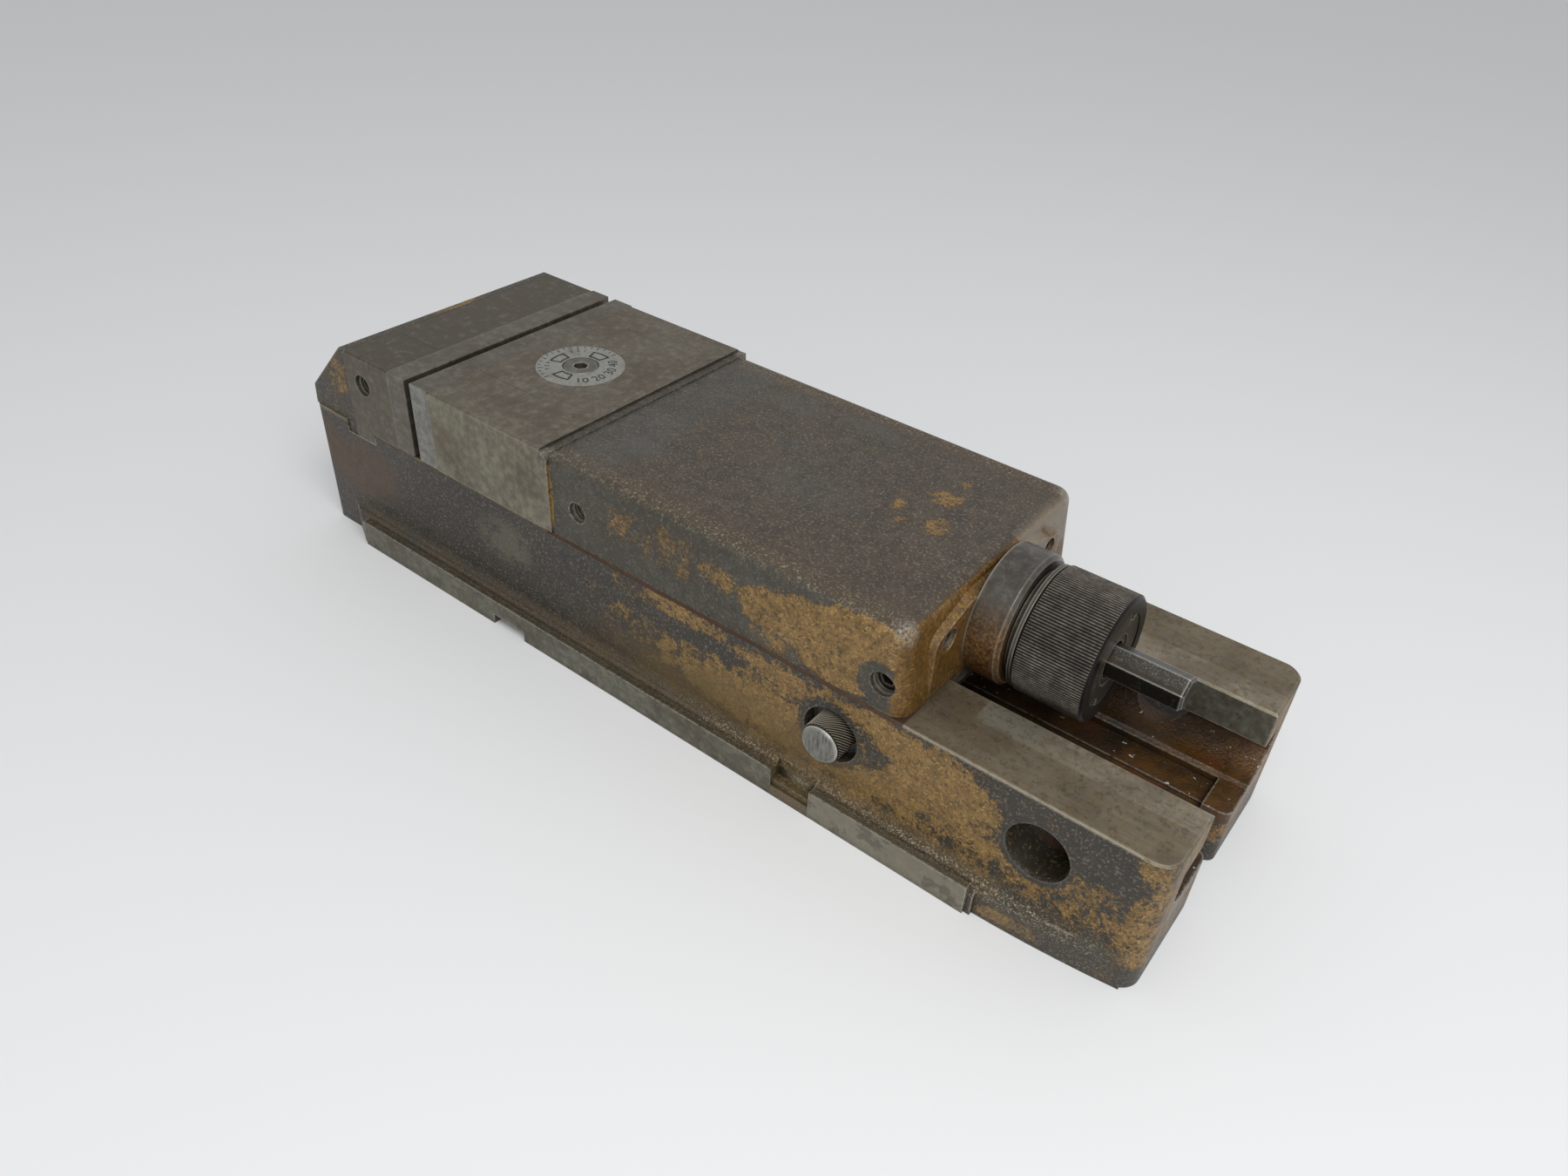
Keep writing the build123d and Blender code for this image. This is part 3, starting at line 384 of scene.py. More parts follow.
def corner_shade_and_dirt(socket, reach=5.0):
    """Mask of the inner corners where dirt gathers and shade is painted, in the tree of the given socket."""
    return use(crevice_shade_and_dirt, {"Reach": mm(reach)}, socket.id_data)[0]


def aged(colour, rub, shade_and_grime, reach=3.0, edge=bright_edge):
    """The colour with rubbed outer edges, and with dirt and painted shade in the inner corners."""
    colour = tint(colour, worn_edges(colour), rub, edge)
    # Inner corners darkened: dirt and painted shade
    return tint(colour, corner_shade_and_dirt(colour, reach), shade_and_grime, dirt_and_shade_tone)


def lay_over(mask, below, above):
    """Colour, roughness and height of one skin, with those of another laid over it where the mask is."""
    return [blend(mask, below[0], above[0])] + [fade(mask, below[i], above[i]) for i in (1, 2)]


def cast_skin(coordinates, cover, brown, dark=iron_dark, light=iron_grey):
    """Colour, roughness and height of cast iron with worn ochre paint, with painted glints on the grain tips."""
    paint, film = use(flaked_paint, {"Place": coordinates, "Cover": cover, "Size": 120.0})
    height, shade, tips = use(cast_grain, {"Place": coordinates, "Size": 900.0})
    iron = blend(flecks(coordinates, 28.0, 7.0, 0.65, 0.38, 0.62), dark, light)
    iron = blend(brown, iron, iron_brown)
    iron = blend(ramp(shade, 0.0, 1.0, 0.7, 0.0), iron, srgb(36, 32, 27))
    # Bright grain tips: painted glints
    iron = tint(iron, tips, 0.34, iron_glint)
    iron = tint(iron, film, 0.12, ochre_deep)
    paint_colour = blend(flecks(coordinates, 160.0, 6.0, 0.7, 0.36, 0.66, 0.0, 0.8), ochre, ochre_deep)
    specks = flecks(coordinates, 480.0, 6.0, 0.8, 0.53, 0.58)
    paint_colour = tint(paint_colour, specks, 0.85, srgb(66, 52, 32))
    dabs = flecks(coordinates, 230.0, 6.0, 0.75, 0.53, 0.60)
    paint_colour = tint(paint_colour, dabs, 0.6, srgb(84, 66, 38))
    # Bright grain tips in the paint: painted glints
    paint_colour = tint(paint_colour, tips, 0.45, srgb(196, 160, 102))
    colour = blend(paint, iron, paint_colour)
    roughness = calc("ADD", fade(paint, 0.34, 0.42), share(shade, 0.12))
    high = calc("ADD", share(height, 0.7), share(paint, 0.14))
    return colour, roughness, high


def ground_skin(coordinates, stretch, top, side=None):
    """Colour, roughness and height of ground steel gone dull with use, with a lighter painted reflection on the
    flanks when a side colour is given.
    """
    lines, stains, clouds, pits = use(ground_marks, {"Place": coordinates, "Stretch": stretch})
    colour = top
    if side is not None:
        outward = fold_sides(coordinates)[1]
        flank = step(outward, half_width - mm(0.6), half_width - mm(0.2))
        # Lighter flank colour: painted reflection
        colour = blend(flank, top, side)
    colour = tint(colour, stains, 0.55, steel_stain)
    colour = blend(step(clouds, 0.40, 0.60, 0.42, 0.0), colour, srgb(62, 55, 46))
    colour = blend(step(clouds, 0.54, 0.66, 0.0, 0.25), colour, srgb(150, 146, 134))
    colour = tint(colour, pits, 0.5, near_black)
    colour = blend(step(lines, 0.35, 0.68, 0.18, 0.0), colour, srgb(70, 66, 58))
    roughness = calc("ADD", 0.36, share(clouds, 0.2))
    return colour, roughness, calc("ADD", share(lines, 0.05), share(clouds, 0.05))


# Movable jaw with its housing
def housing_cover(spot, folded, flank, rear):
    """How much ochre is left: large areas on the flanks and the rear face, flakes on the top."""
    rear_area = spots(
        folded,
        (1.0, (229, -62, 82), (52, 14, 20), 0.35),
        (1.0, (203, -62, 81), (26, 14, 17), 0.2),
        (1.0, (244, -62, 91), (34, 14, 14), 0.35),
        (0.85, (232, -62, 68), (36, 14, 9), 0.2),
        (0.62, (204, -62, 68), (30, 14, 9), 0.2),
    )
    bare_ring = spot_mask(folded, (251, -62, 75), (11, 14, 11), 0.55)
    rear_area = both(rear_area, without(bare_ring))
    small_areas = spots(
        folded,
        (0.64, (127, -62, 84), (16, 14, 14), 0.1),
        (0.42, (155, -62, 84), (70, 14, 18), 0.4),
        (0.55, (178, -62, 84), (24, 14, 14), 0.2),
        (0.95, (88, -62, 80), (4.6, 8, 28), 0.3),
    )
    flank_cover = either(share(rear_area, 0.90), small_areas)
    top_flakes = spots(
        spot,
        (0.66, (225, 19, 100), (15, 14, 9), 0.1),
        (0.63, (232, 0, 100), (12, 14, 9), 0.1),
        (0.56, (212, 4, 100), (8, 9, 9), 0.1),
        (0.54, (220, -4, 100), (7, 8, 9), 0.1),
        (0.54, (225, 34, 100), (8, 8, 9), 0.1),
    )
    thin_top = share(box_mask(spot, (200, -45, 98), (250, 48, 101), 40.0), 0.30)
    return either(both(flank, flank_cover), share(rear, 0.88), top_flakes, thin_top)


def housing_tones(spot, colour, outward, flank, front_band):
    """Bluish blotches and brown edges on the top, bright grains along the rounded edges."""
    blotches = spots(
        spot,
        (1.0, (135, 40, 100), (22, 10, 9), 0.2),
        (1.0, (173, 45, 100), (26, 8, 9), 0.2),
        (0.7, (157, 12, 100), (14, 8, 9), 0.2),
        (1.0, (112, -32, 100), (18, 12, 9), 0.2),
        (0.7, (180, -10, 100), (34, 18, 9), 0.2),
    )
    ragged_grey = fade(front_band, flecks(spot, 300.0, 6.0, 0.8, 0.42, 0.56), 0.75)
    bluish = both(either(front_band, blotches), without(flank), ragged_grey)
    colour = tint(colour, bluish, 0.6, iron_blue)
    edge_brown = both(step(outward, mm(44), mm(58)), without(flank))
    colour = tint(colour, edge_brown, 0.45, srgb(78, 62, 42))
    rounding = both(step(outward, mm(50), mm(54)), step(outward, mm(59.5), mm(61.5), 1.0, 0.0))
    bright_grains = both(rounding, flecks(spot, 1000.0, 4.0, 0.75, 0.56, 0.62))
    return tint(colour, bright_grains, 0.55, srgb(172, 160, 132))


def housing_rear(spot, colour, roughness, rear):
    """Rear face: oily ochre around the collar's pad with painted glints on its grain, pale towards the far side."""
    oiled = both(rear, flecks(spot, 50.0, 5.0, 0.55, 0.3, 0.6, 0.55, 1.0))
    colour = tint(colour, oiled, 0.9, ochre_oiled)
    # Bright specks on the oily grain: painted glints
    oily_glints = both(rear, flecks(spot, 800.0, 5.0, 0.75, 0.55, 0.62))
    colour = tint(colour, oily_glints, 0.6, srgb(172, 128, 58))
    oily_dips = both(rear, flecks(spot, 520.0, 4.0, 0.7, 0.44, 0.52, 1.0, 0.0))
    colour = tint(colour, oily_dips, 0.5, srgb(58, 38, 12))
    far_side = box_mask(spot, (256, 16, 80), (264, 63, 99), 3.0)
    pale = both(far_side, flecks(spot, 60.0, 5.0, 0.55, 0.35, 0.5))
    colour = tint(colour, pale, 0.75, srgb(132, 124, 110))
    return colour, fade(oiled, roughness, 0.28)


def housing_head(spot, folded):
    """Ground head: its mask, then colour, roughness and height, with the scribed line and the joint."""
    head = box_mask(spot, (10, -70, 40), (88.9, 70, 110), 0.1)
    # The flank colour, lighter than the top, is a painted reflection
    ground, rough, height = ground_skin(spot, (1400, 60, 60), srgb(114, 106, 92), srgb(134, 129, 111))
    low_strip = box_mask(spot, (84.7, -70, 97), (89.0, 70, 101.1), 0.1)
    strip_specks = fade(flecks(spot, 500.0, 5.0, 0.75, 0.40, 0.56), 0.35, 0.85)
    ground = blend(both(low_strip, strip_specks), ground, srgb(62, 60, 55))
    trail = spot_mask(folded, (24, -62.5, 84), (9, 3, 9), 0.1)
    ground = tint(ground, trail, 0.35, srgb(96, 72, 44))
    line = box_mask(spot, (9, -33.8, 101), (55, -33.4, 102), 0.3)
    joint = box_mask(spot, (15.5, -70, 62), (16.1, 70, 102), 0.2)
    ground = tint(ground, either(line, joint), 0.6, near_black)
    return head, ground, rough, height


def housing_rub(spot, folded, outward, head):
    """Where the housing is rubbed bright: outer edges and corners, less in the set-screw holes."""
    outer_edge = either(without(head), step(outward, mm(60.5), mm(61.5)))
    edges = share(both(worn_edges(spot), outer_edge), 0.4)
    corners = spots(folded, (0.35, (257, -57, 97), (7, 6, 7), 0.3), (0.35, (88, -61, 100), (5, 5, 3.5), 0.4))
    ragged = flecks(spot, 900.0, 5.0, 0.8, 0.42, 0.54)
    set_holes = spot_mask(folded, (set_screw_x, -62, set_screw_z), (8, 9, 8), 0.8)
    return both(either(edges, corners), ragged, without(set_holes, 0.7))


def finish_housing():
    """Movable jaw: ground head, dark grained housing with ochre left on the flanks and the rear face."""
    material, shader, spot = start_material("cast_housing")
    folded, outward = fold_sides(spot)
    flank = step(outward, mm(58.5), mm(60.5))
    rear = box_mask(spot, (256.5, -63, 62), (264, 63, 98.6), 2.0)
    front_band = box_mask(spot, (80, -62, 96), (112, 62, 101), 26.0)
    cover = housing_cover(spot, folded, flank, rear)
    brown = fade(flank, without(front_band, 0.8), 0.3)
    colour, roughness, height = cast_skin(spot, cover, share(brown, 0.8))
    bare_flank = both(flank, without(step(cover, 0.30, 0.55)))
    colour = tint(colour, bare_flank, 0.35, srgb(64, 62, 48))
    colour = housing_tones(spot, colour, outward, flank, front_band)
    colour, roughness = housing_rear(spot, colour, roughness, rear)
    head, *ground = housing_head(spot, folded)
    colour, roughness, height = lay_over(head, (colour, roughness, height), ground)
    rub = housing_rub(spot, folded, outward, head)
    colour = blend(rub, colour, bright_edge)
    metallic = fade(rub, fade(head, 0.2, 0.6), 0.8)
    foot = box_mask(spot, (84, -70, 62), (264, 70, 63.2), 0.5)
    colour = tint(colour, foot, 0.8, rust_red)
    # Inner corners darkened: dirt and painted shade
    colour = tint(colour, corner_shade_and_dirt(spot), 0.5, dirt_and_shade_tone)
    feed(shader, colour, roughness, metallic, height, grain_depth)
    return material


def finish_fixed_jaw():
    """Fixed jaw: ground front half, cast back with brown paint and chipped ochre along its top."""
    material, shader, spot = start_material("cast_fixed_jaw")
    folded = fold_sides(spot)[0]
    chips = spot_mask(spot, (-45, 2, 101), (4, 22, 6), 0.3)
    side = spot_mask(folded, (-52, -62, 84), (14, 8, 20), 0.3)
    cover = either(share(chips, 0.62), share(side, 0.56))
    cast = cast_skin(spot, cover, 0.6, bed_grey, iron_dark)
    front = box_mask(spot, (-42.0, -70, 50), (5, 70, 110), 0.6)
    # The flank colour, lighter than the top, is a painted reflection
    ground, *rest = ground_skin(spot, (1400, 60, 60), srgb(84, 78, 66), srgb(104, 97, 83))
    line = box_mask(spot, (-37.4, -33.8, 101), (-13.5, -33.4, 102), 0.3)
    ground = tint(ground, line, 0.6, near_black)
    colour, roughness, height = lay_over(front, cast, [ground] + rest)
    colour = aged(colour, 0.15, 0.6, 5.0)
    feed(shader, colour, roughness, fade(front, 0.2, 0.6), height, grain_depth)
    return material


# Bed
def bed_cover(folded):
    """How much ochre is left on the walls: thicker towards the rear, rubbed off around the holes."""
    left = spots(
        folded,
        (0.84, (222, -62, 32), (118, 14, 22), 0.3),
        (0.88, (262, -62, 44), (74, 14, 30), 0.3),
        (0.66, (205, -62, 52), (52, 14, 18), 0.2),
        (0.55, (160, -62, 57), (74, 14, 12), 0.2),
        (0.52, (150, -62, 42), (84, 14, 28), 0.2),
        (0.56, (330, -62, 34), (48, 14, 40), 0.3),
        (0.60, (318, -68, 5), (34, 8, 9), 0.2),
    )
    low_wall = share(box_mask(folded, (196, -66, 13), (306, -61, 34), 10.0), 0.80)
    rear_end = share(box_mask(folded, (350, -66, 8), (368, 10, 63), 9.0), 0.60)
    bare = spots(
        folded,
        (0.85, (pin_hole_x, -62, cross_hole_z), (18, 14, 18), 0.62),
        (0.62, (247, -62, 42), (20, 14, 16), 0.2),
        (0.8, (spare_hole_x, -62, cross_hole_z), (15, 14, 15), 0.82),
        (0.5, (165, -62, 50), (48, 14, 6), 0.3),
        (0.5, (306, -62, 53), (10, 14, 7), 0.2),
        (0.6, (340, -62, 50), (22, 14, 16), 0.2),
    )
    return both(either(left, low_wall, rear_end), without(bare))


def bed_walls(spot, folded, colour):
    """Brown, pale and olive areas over the painted walls."""
    brown = spot_mask(folded, (-48, -62, 42), (40, 12, 24), 0.5)
    brown = both(brown, flecks(spot, 60.0, 6.0, 0.7, 0.34, 0.5))
    colour = blend(brown, colour, srgb(74, 54, 34))
    pale = spot_mask(folded, (58, -62, 44), (24, 14, 15), 0.4)
    pale = both(pale, flecks(spot, 120.0, 7.0, 0.7, 0.38, 0.52))
    colour = tint(colour, pale, 0.6, srgb(98, 96, 78))
    olive = spot_mask(folded, (186, -62, 24), (104, 14, 22), 0.2)
    olive = both(olive, flecks(spot, 60.0, 7.0, 0.7, 0.30, 0.62, 0.35, 0.85))
    return blend(olive, colour, srgb(98, 80, 46))


def bed_feet(spot, folded, colour, roughness, glints):
    """Oily feet with painted glints."""
    zone = partial(box_mask, folded)
    foot = zone((-90, -70.5, -1), (past_bed_end, -62.9, 21), 1.0)
    wet = flecks(spot, 70.0, 7.0, 0.65, 0.3, 0.6, 0.5, 1.0)
    wet = both(wet, fade(zone((300, -70.5, -1), (past_bed_end, -66, 9.5), 3.0), 1.0, 0.25))
    oily = blend(flecks(spot, 40.0, 6.0, 0.6, 0.4, 0.6), srgb(66, 52, 32), srgb(54, 49, 38))
    oily = tint(oily, zone((196, -66, 10), (310, -61, 21), 10.0), 0.7, srgb(94, 72, 34))
    oily = tint(oily, zone((110, -66, 10), (200, -61, 21), 50.0), 0.6, srgb(84, 66, 34))
    oily = tint(oily, zone((211, -71, -1), (234, -60, 17), 1.5), 0.85, srgb(92, 74, 38))
    rear_foot = zone((175, -70.5, -1), (past_bed_end, -62.9, 21), 60.0)
    crest = either(zone((175, -66.5, 13.2), (310, -62.8, 16), 0.6), zone((300, -69, 9), (358, -63.5, 16), 2.0))
    glint_area = either(fade(rear_foot, 0.15, 0.45), share(crest, 0.65))
    # Bright specks on the crest and rear foot: painted glints
    oily = blend(both(glints, glint_area), oily, srgb(176, 166, 142))
    return blend(both(foot, wet), colour, oily), fade(foot, roughness, 0.33)


def bed_bores(spot, folded, colour, roughness):
    """Dark oil inside the two cross holes."""
    inside_wall = box_mask(folded, (215, -60.5, 20), (340, -29, 60), 0.6)
    bores = both(inside_wall, flecks(spot, 90.0, 6.0, 0.7, 0.32, 0.58, 0.5, 1.0))
    grains = flecks(spot, 700.0, 4.0, 0.7, 0.56, 0.64)
    oil = blend(grains, srgb(40, 32, 16), srgb(128, 112, 74))
    return blend(bores, colour, oil), fade(bores, roughness, 0.5)


def bed_channel(spot, folded, colour, roughness):
    """Channel with oil, rust and a few bright chips, and a painted shadow under the collar and sleeve."""
    channel = box_mask(folded, (2, -46, 20), (past_bed_end, 1, 46.5), 1.5)
    floor = blend(flecks(spot, 45.0, 7.0, 0.65, 0.38, 0.62), oil_amber, srgb(50, 36, 18))
    floor = blend(flecks(spot, 80.0, 6.0, 0.6, 0.54, 0.66), floor, rust_red)
    floor = blend(flecks(spot, 420.0, 2.0, 0.5, 0.71, 0.74), floor, srgb(190, 186, 176))
    # Painted shadow under the collar and sleeve
    shadow_under_sleeve = box_mask(folded, (250, -46, 20), (314, 1, 46.5), 14.0)
    floor = tint(floor, shadow_under_sleeve, 0.6, near_black)
    return blend(channel, colour, floor), fade(channel, roughness, 0.28)


def worn_rails(spot, folded, ground, rails):
    """Rail tops: streaks, clouds and grain, with a smoother start behind the housing."""
    ground = tint(ground, rails, 0.9, srgb(144, 135, 118))
    inner = box_mask(folded, (280, -42.5, 62), (past_bed_end, -20, 64), 0.5)
    ground = tint(ground, both(rails, without(inner)), 0.6, srgb(106, 96, 78))
    stretched = vector_calc("MULTIPLY", spot, (30, 420, 420))
    streaks = both(rails, flecks(stretched, 1.0, 6.0, 0.7, 0.45, 0.62, 0.0, 0.2))
    ground = blend(streaks, ground, srgb(70, 60, 46))
    clouds = both(rails, flecks(spot, 34.0, 7.0, 0.68, 0.44, 0.60))
    ground = tint(ground, clouds, 0.42, srgb(70, 59, 45))
    smooth_start = box_mask(folded, (281, -42, 62), (303, -29, 64), 3.0)
    ground = tint(ground, smooth_start, 0.7, srgb(126, 125, 112))
    tan = both(rails, flecks(spot, 240.0, 8.0, 0.8, 0.44, 0.58), without(smooth_start, 0.8))
    ground = tint(ground, tan, 0.42, srgb(114, 96, 64))
    dark_grain = both(rails, flecks(spot, 420.0, 6.0, 0.75, 0.52, 0.60))
    return tint(ground, dark_grain, 0.4, srgb(60, 52, 38))


def worn_ledges(spot, folded, ground, ledges, above, glints):
    """Clamping ledges: paler at the rear, stained, with a dull top and painted glints."""
    rear_ledge = both(ledges, box_mask(folded, (228, -72, -1), (310, -60, 15), 8.0))
    ground = tint(ground, rear_ledge, 0.6, srgb(146, 138, 122))
    stain = both(ledges, flecks(spot, 110.0, 6.0, 0.7, 0.52, 0.60))
    ground = tint(ground, stain, 0.5, srgb(66, 62, 54))
    top = both(ledges, step(above, mm(13.1), mm(13.4)))
    ground = tint(ground, top, 0.65, srgb(74, 65, 48))
    # Bright specks on the ledge top: painted glints
    return tint(ground, both(top, glints), 0.45, srgb(160, 148, 118))


def bed_ground_faces(spot, folded, glints):
    """Rails, guide faces, ledges and underside: their mask, then colour, roughness and height."""
    zone = partial(box_mask, folded)
    above = split(spot)[2]
    rails = step(above, rail_top - mm(1.0), rail_top - mm(0.7))
    guides = zone((2, -31.0, 46.5), (past_bed_end, -29.5, 63), 0.2)
    lips = zone((2, -46, 46.4), (past_bed_end, -29.5, 48), 0.2)
    ledges = either(
        zone((-41, -71, -1), (213.8, -67.4, 14.2), 0.3),
        zone((232, -71, -1), (301.9, -67.4, 14.2), 0.3),
    )
    under = step(above, mm(0.1), mm(0.4), 1.0, 0.0)
    ground, rough, height = ground_skin(spot, (60, 1400, 300), srgb(116, 115, 100))
    ground = worn_rails(spot, folded, ground, rails)
    ground = worn_ledges(spot, folded, ground, ledges, above, glints)
    return either(rails, guides, lips, ledges, under), ground, rough, height


def bed_rub(spot, folded):
    """Where the bed is rubbed bright: outer edges, less around the holes and not under the housing."""
    zone = partial(box_mask, folded)
    under_housing = zone((-60, -64, 60), (262, -55, 64), 0.5)
    hole_rims = either(
        spot_mask(folded, (pin_hole_x, -62, cross_hole_z), (14, 6, 14), 0.9),
        spot_mask(folded, (spare_hole_x, -62, cross_hole_z), (14, 6, 14), 0.9),
        zone((340, -72, -1), (past_bed_end, -60, 20), 1.0),
        zone((212, -72, -1), (233.4, -60, 16), 0.4),
    )
    edges = share(worn_edges(spot), 0.5)
    ragged = flecks(spot, 500.0, 4.0, 0.7, 0.34, 0.54)
    return both(edges, without(under_housing), without(hole_rims, 0.75), ragged)


def finish_bed():
    """Bed: painted cast walls and feet, ground rails, guide faces, ledges and underside, oily channel."""
    material, shader, spot = start_material("cast_bed_worn")
    folded = fold_sides(spot)[0]
    glints = flecks(spot, 1300.0, 4.0, 0.7, 0.53, 0.60)
    colour, roughness, height = cast_skin(spot, bed_cover(folded), 0.25, bed_dark, bed_grey)
    colour = bed_walls(spot, folded, colour)
    colour, roughness = bed_feet(spot, folded, colour, roughness, glints)
    colour, roughness = bed_bores(spot, folded, colour, roughness)
    colour, roughness = bed_channel(spot, folded, colour, roughness)
    ground_zone, *ground = bed_ground_faces(spot, folded, glints)
    colour, roughness, height = lay_over(ground_zone, (colour, roughness, height), ground)
    rub = bed_rub(spot, folded)
    colour = blend(rub, colour, bright_edge)
    metallic = fade(rub, fade(ground_zone, 0.15, 0.6), 0.8)
    # Painted highlight along the exposed outer edge of the rails
    rail_edge_highlight = box_mask(folded, (263, -62.8, 62.3), (352, -61.95, 63.2), 0.2)
    colour = tint(colour, rail_edge_highlight, 0.35, srgb(196, 190, 174))
    red_joint = box_mask(folded, (86, -63, 61.6), (263, -50, 64), 0.4)
    colour = tint(colour, red_joint, 0.7, srgb(58, 26, 14))
    # Inner corners darkened: dirt and painted shade
    colour = tint(colour, corner_shade_and_dirt(spot), 0.6, dirt_and_shade_tone)
    feed(shader, colour, roughness, metallic, height, grain_depth)
    return material


# Steel and bronze pieces
def finish_steel(name, tone, stretch, roughness=0.4, metallic=0.7, edge=0.5, side=None):
    """Ground or turned steel, with marks, stains, rubbed edges, dirt and painted shade in its corners, and a lighter
    painted reflection on the flanks when a side colour is given.
    """
    material, shader, spot = start_material(name)
    colour, rough, height = ground_skin(spot, stretch, tone, side)
    rough = calc("ADD", rough, roughness - mean_roughness)
    feed(shader, aged(colour, edge, 0.6), rough, metallic, height, mm(0.1))
    return material


def finish_collar():
    """Turned collar: clean grey above, brown with oily paint below."""
    material, shader, spot = start_material("turned_collar")
    colour, _, height = ground_skin(spot, (1500, 60, 60), srgb(104, 103, 100))
    axes = split(spot)
    tilt = calc("ADD", axes[2], share(axes[1], 0.25))
    low = step(tilt, spindle_height - mm(4), spindle_height + mm(17), 1.0, 0.0)
    ragged = flecks(spot, 260.0, 7.0, 0.75, 0.3, 0.55, 0.6, 1.0)
    grains = flecks(spot, 700.0, 5.0, 0.75, 0.42, 0.60)
    oily = blend(grains, srgb(68, 44, 18), srgb(122, 90, 48))
    colour = blend(both(low, ragged), colour, oily)
    colour = aged(colour, 0.6, 0.6)
    feed(shader, colour, fade(low, 0.3, 0.42), fade(low, 0.85, 0.3), height, mm(0.06))
    return material


def finish_bronze():
    """Bearing bronze, dulled by oil."""
    material, shader, spot = start_material("bearing_bronze")
    clouds = noise(spot, 80.0, 5.0)
    colour = blend(clouds, srgb(176, 130, 70), srgb(112, 78, 38))
    feed(shader, colour, fade(clouds, 0.3, 0.5), 1.0)
    return material


def finish_hexagon():
    """Crank hexagon: dark flats, with a painted highlight and glinting pits along the top."""
    material, shader, spot = start_material("crank_hexagon_steel")
    colour, _, height = ground_skin(spot, (60, 900, 900), srgb(46, 45, 41))
    grain = noise(spot, 900.0, 4.0, 0.7)
    top = step(split(spot)[2], spindle_height + mm(3.5), spindle_height + mm(5.0))
    top_glints = flecks(spot, 1500.0, 5.0, 0.75, 0.52, 0.62)
    # Lighter top with bright pits: painted highlight
    colour = tint(colour, top, 0.7, srgb(64, 62, 58))
    colour = blend(both(top, share(top_glints, 0.3)), colour, srgb(160, 158, 150))
    colour = aged(colour, 0.7, 0.7, edge=srgb(210, 207, 198))
    feed(shader, colour, calc("ADD", 0.22, share(grain, 0.3)), 0.8, height, mm(0.15))
    return material


def finish_dial():
    """Dial plate: pale worn metal with fine speckle."""
    material, shader, spot = start_material("dial_face")
    grain = noise(spot, 1400.0, 4.0, 0.7)
    colour = blend(step(grain, 0.4, 0.62), srgb(118, 119, 112), srgb(148, 148, 141))
    stain = flecks(spot, 90.0, 6.0, 0.65, 0.5, 0.68)
    colour = tint(colour, stain, 0.55, srgb(98, 92, 76))
    # Inner corners darkened: dirt and painted shade
    colour = tint(colour, corner_shade_and_dirt(spot, 1.5), 0.7, dirt_and_shade_tone)
    feed(shader, colour, 0.42, 0.3, grain, mm(0.02))
    return material


def finish_print():
    """Dark print of the dial, rubbed thin in places."""
    material, shader, spot = start_material("dial_ink")
    worn = flecks(spot, 900.0, 4.0, 0.7, 0.60, 0.72)
    colour = blend(worn, srgb(12, 12, 11), srgb(56, 54, 49))
    feed(shader, colour, 0.5, 0.0, rounded_edges=False)
    return material


def finish_pin_face():
    """Locking pin: brushed end face, ground shank."""
    material, shader, spot = start_material("pin_steel_brushed")
    strokes = noise(vector_calc("MULTIPLY", spot, (1300, 60, 180)), 1.0, 4.0, 0.7)
    colour = blend(step(strokes, 0.34, 0.66), srgb(88, 88, 84), srgb(134, 133, 127))
    colour = aged(colour, 0.6, 0.7, edge=srgb(206, 204, 196))
    feed(shader, colour, 0.36, 0.75, strokes, mm(0.04))
    return material


def ridge_tips(coordinates, middle, low, high, around):
    """Mask of what stands proud of a radius: around "x" for the sleeve's axis, "y" for the pin's."""
    away = vector_calc("SUBTRACT", coordinates, middle)
    across = (0, 1, 1) if around == "x" else (1, 0, 1)
    return step(length(vector_calc("MULTIPLY", away, across)), low, high)


def finish_sleeve():
    """Knurled sleeve: black oily grooves, tips rubbed grey."""
    material, shader, spot = start_material("knurled_black_steel")
    clouds = noise(spot, 120.0, 6.0, 0.7)
    tips = ridge_tips(spot, (0, 0, spindle_height), mm(24.5), mm(24.88), "x")
    groove = blend(clouds, srgb(12, 11, 10), srgb(26, 21, 16))
    tip = blend(step(clouds, 0.35, 0.65), srgb(104, 97, 90), srgb(136, 128, 118))
    rubbed = without(flecks(spot, 500.0, 4.0, 0.7, 0.4, 0.6), 0.4)
    colour = blend(both(tips, rubbed), groove, tip)
    feed(shader, colour, fade(clouds, 0.3, 0.46), 0.6)
    return material


def finish_knurl():
    """Diamond knurl of the pin: dark oily dips, worn points."""
    material, shader, spot = start_material("pin_knurl_steel")
    middle = ((pin_low.x + pin_high.x) / 2, 0, (pin_low.z + pin_high.z) / 2)
    tips = ridge_tips(spot, middle, mm(8.33), mm(8.48), "y")
    clouds = noise(spot, 150.0, 6.0, 0.7)
    colour = blend(tips, blend(clouds, srgb(24, 21, 17), srgb(46, 38, 24)), srgb(158, 151, 134))
    shader.inputs["Specular IOR Level"].default_value = 0.2
    feed(shader, colour, fade(clouds, 0.6, 0.75), 0.0, rounded_edges=False)
    return material


def dress(material, *names):
    """Gives the material to every slot of the named nodes."""
    for name in names:
        for slot in nodes[name].material_slots:
            slot.material = material


set_screw_steel = finish_steel("set_screw_rusty", srgb(62, 50, 40), (300, 300, 300), 0.4, 0.6, 0.3)
screw_steel = finish_steel("screw_steel_dark", srgb(112, 110, 103), (300, 300, 300), 0.4)
thread_steel = finish_steel("tapped_thread_steel", srgb(46, 41, 30), (300, 300, 300), 0.34, 0.5, 0.12)
ring_black = finish_steel("blackened_ring_steel", srgb(28, 25, 23), (200, 200, 200), 0.4, 0.5, 0.35)
bed_finish = finish_bed()
dress(bed_finish, "bed")
dress(finish_housing(), "movable_jaw")
dress(finish_fixed_jaw(), "fixed_jaw")
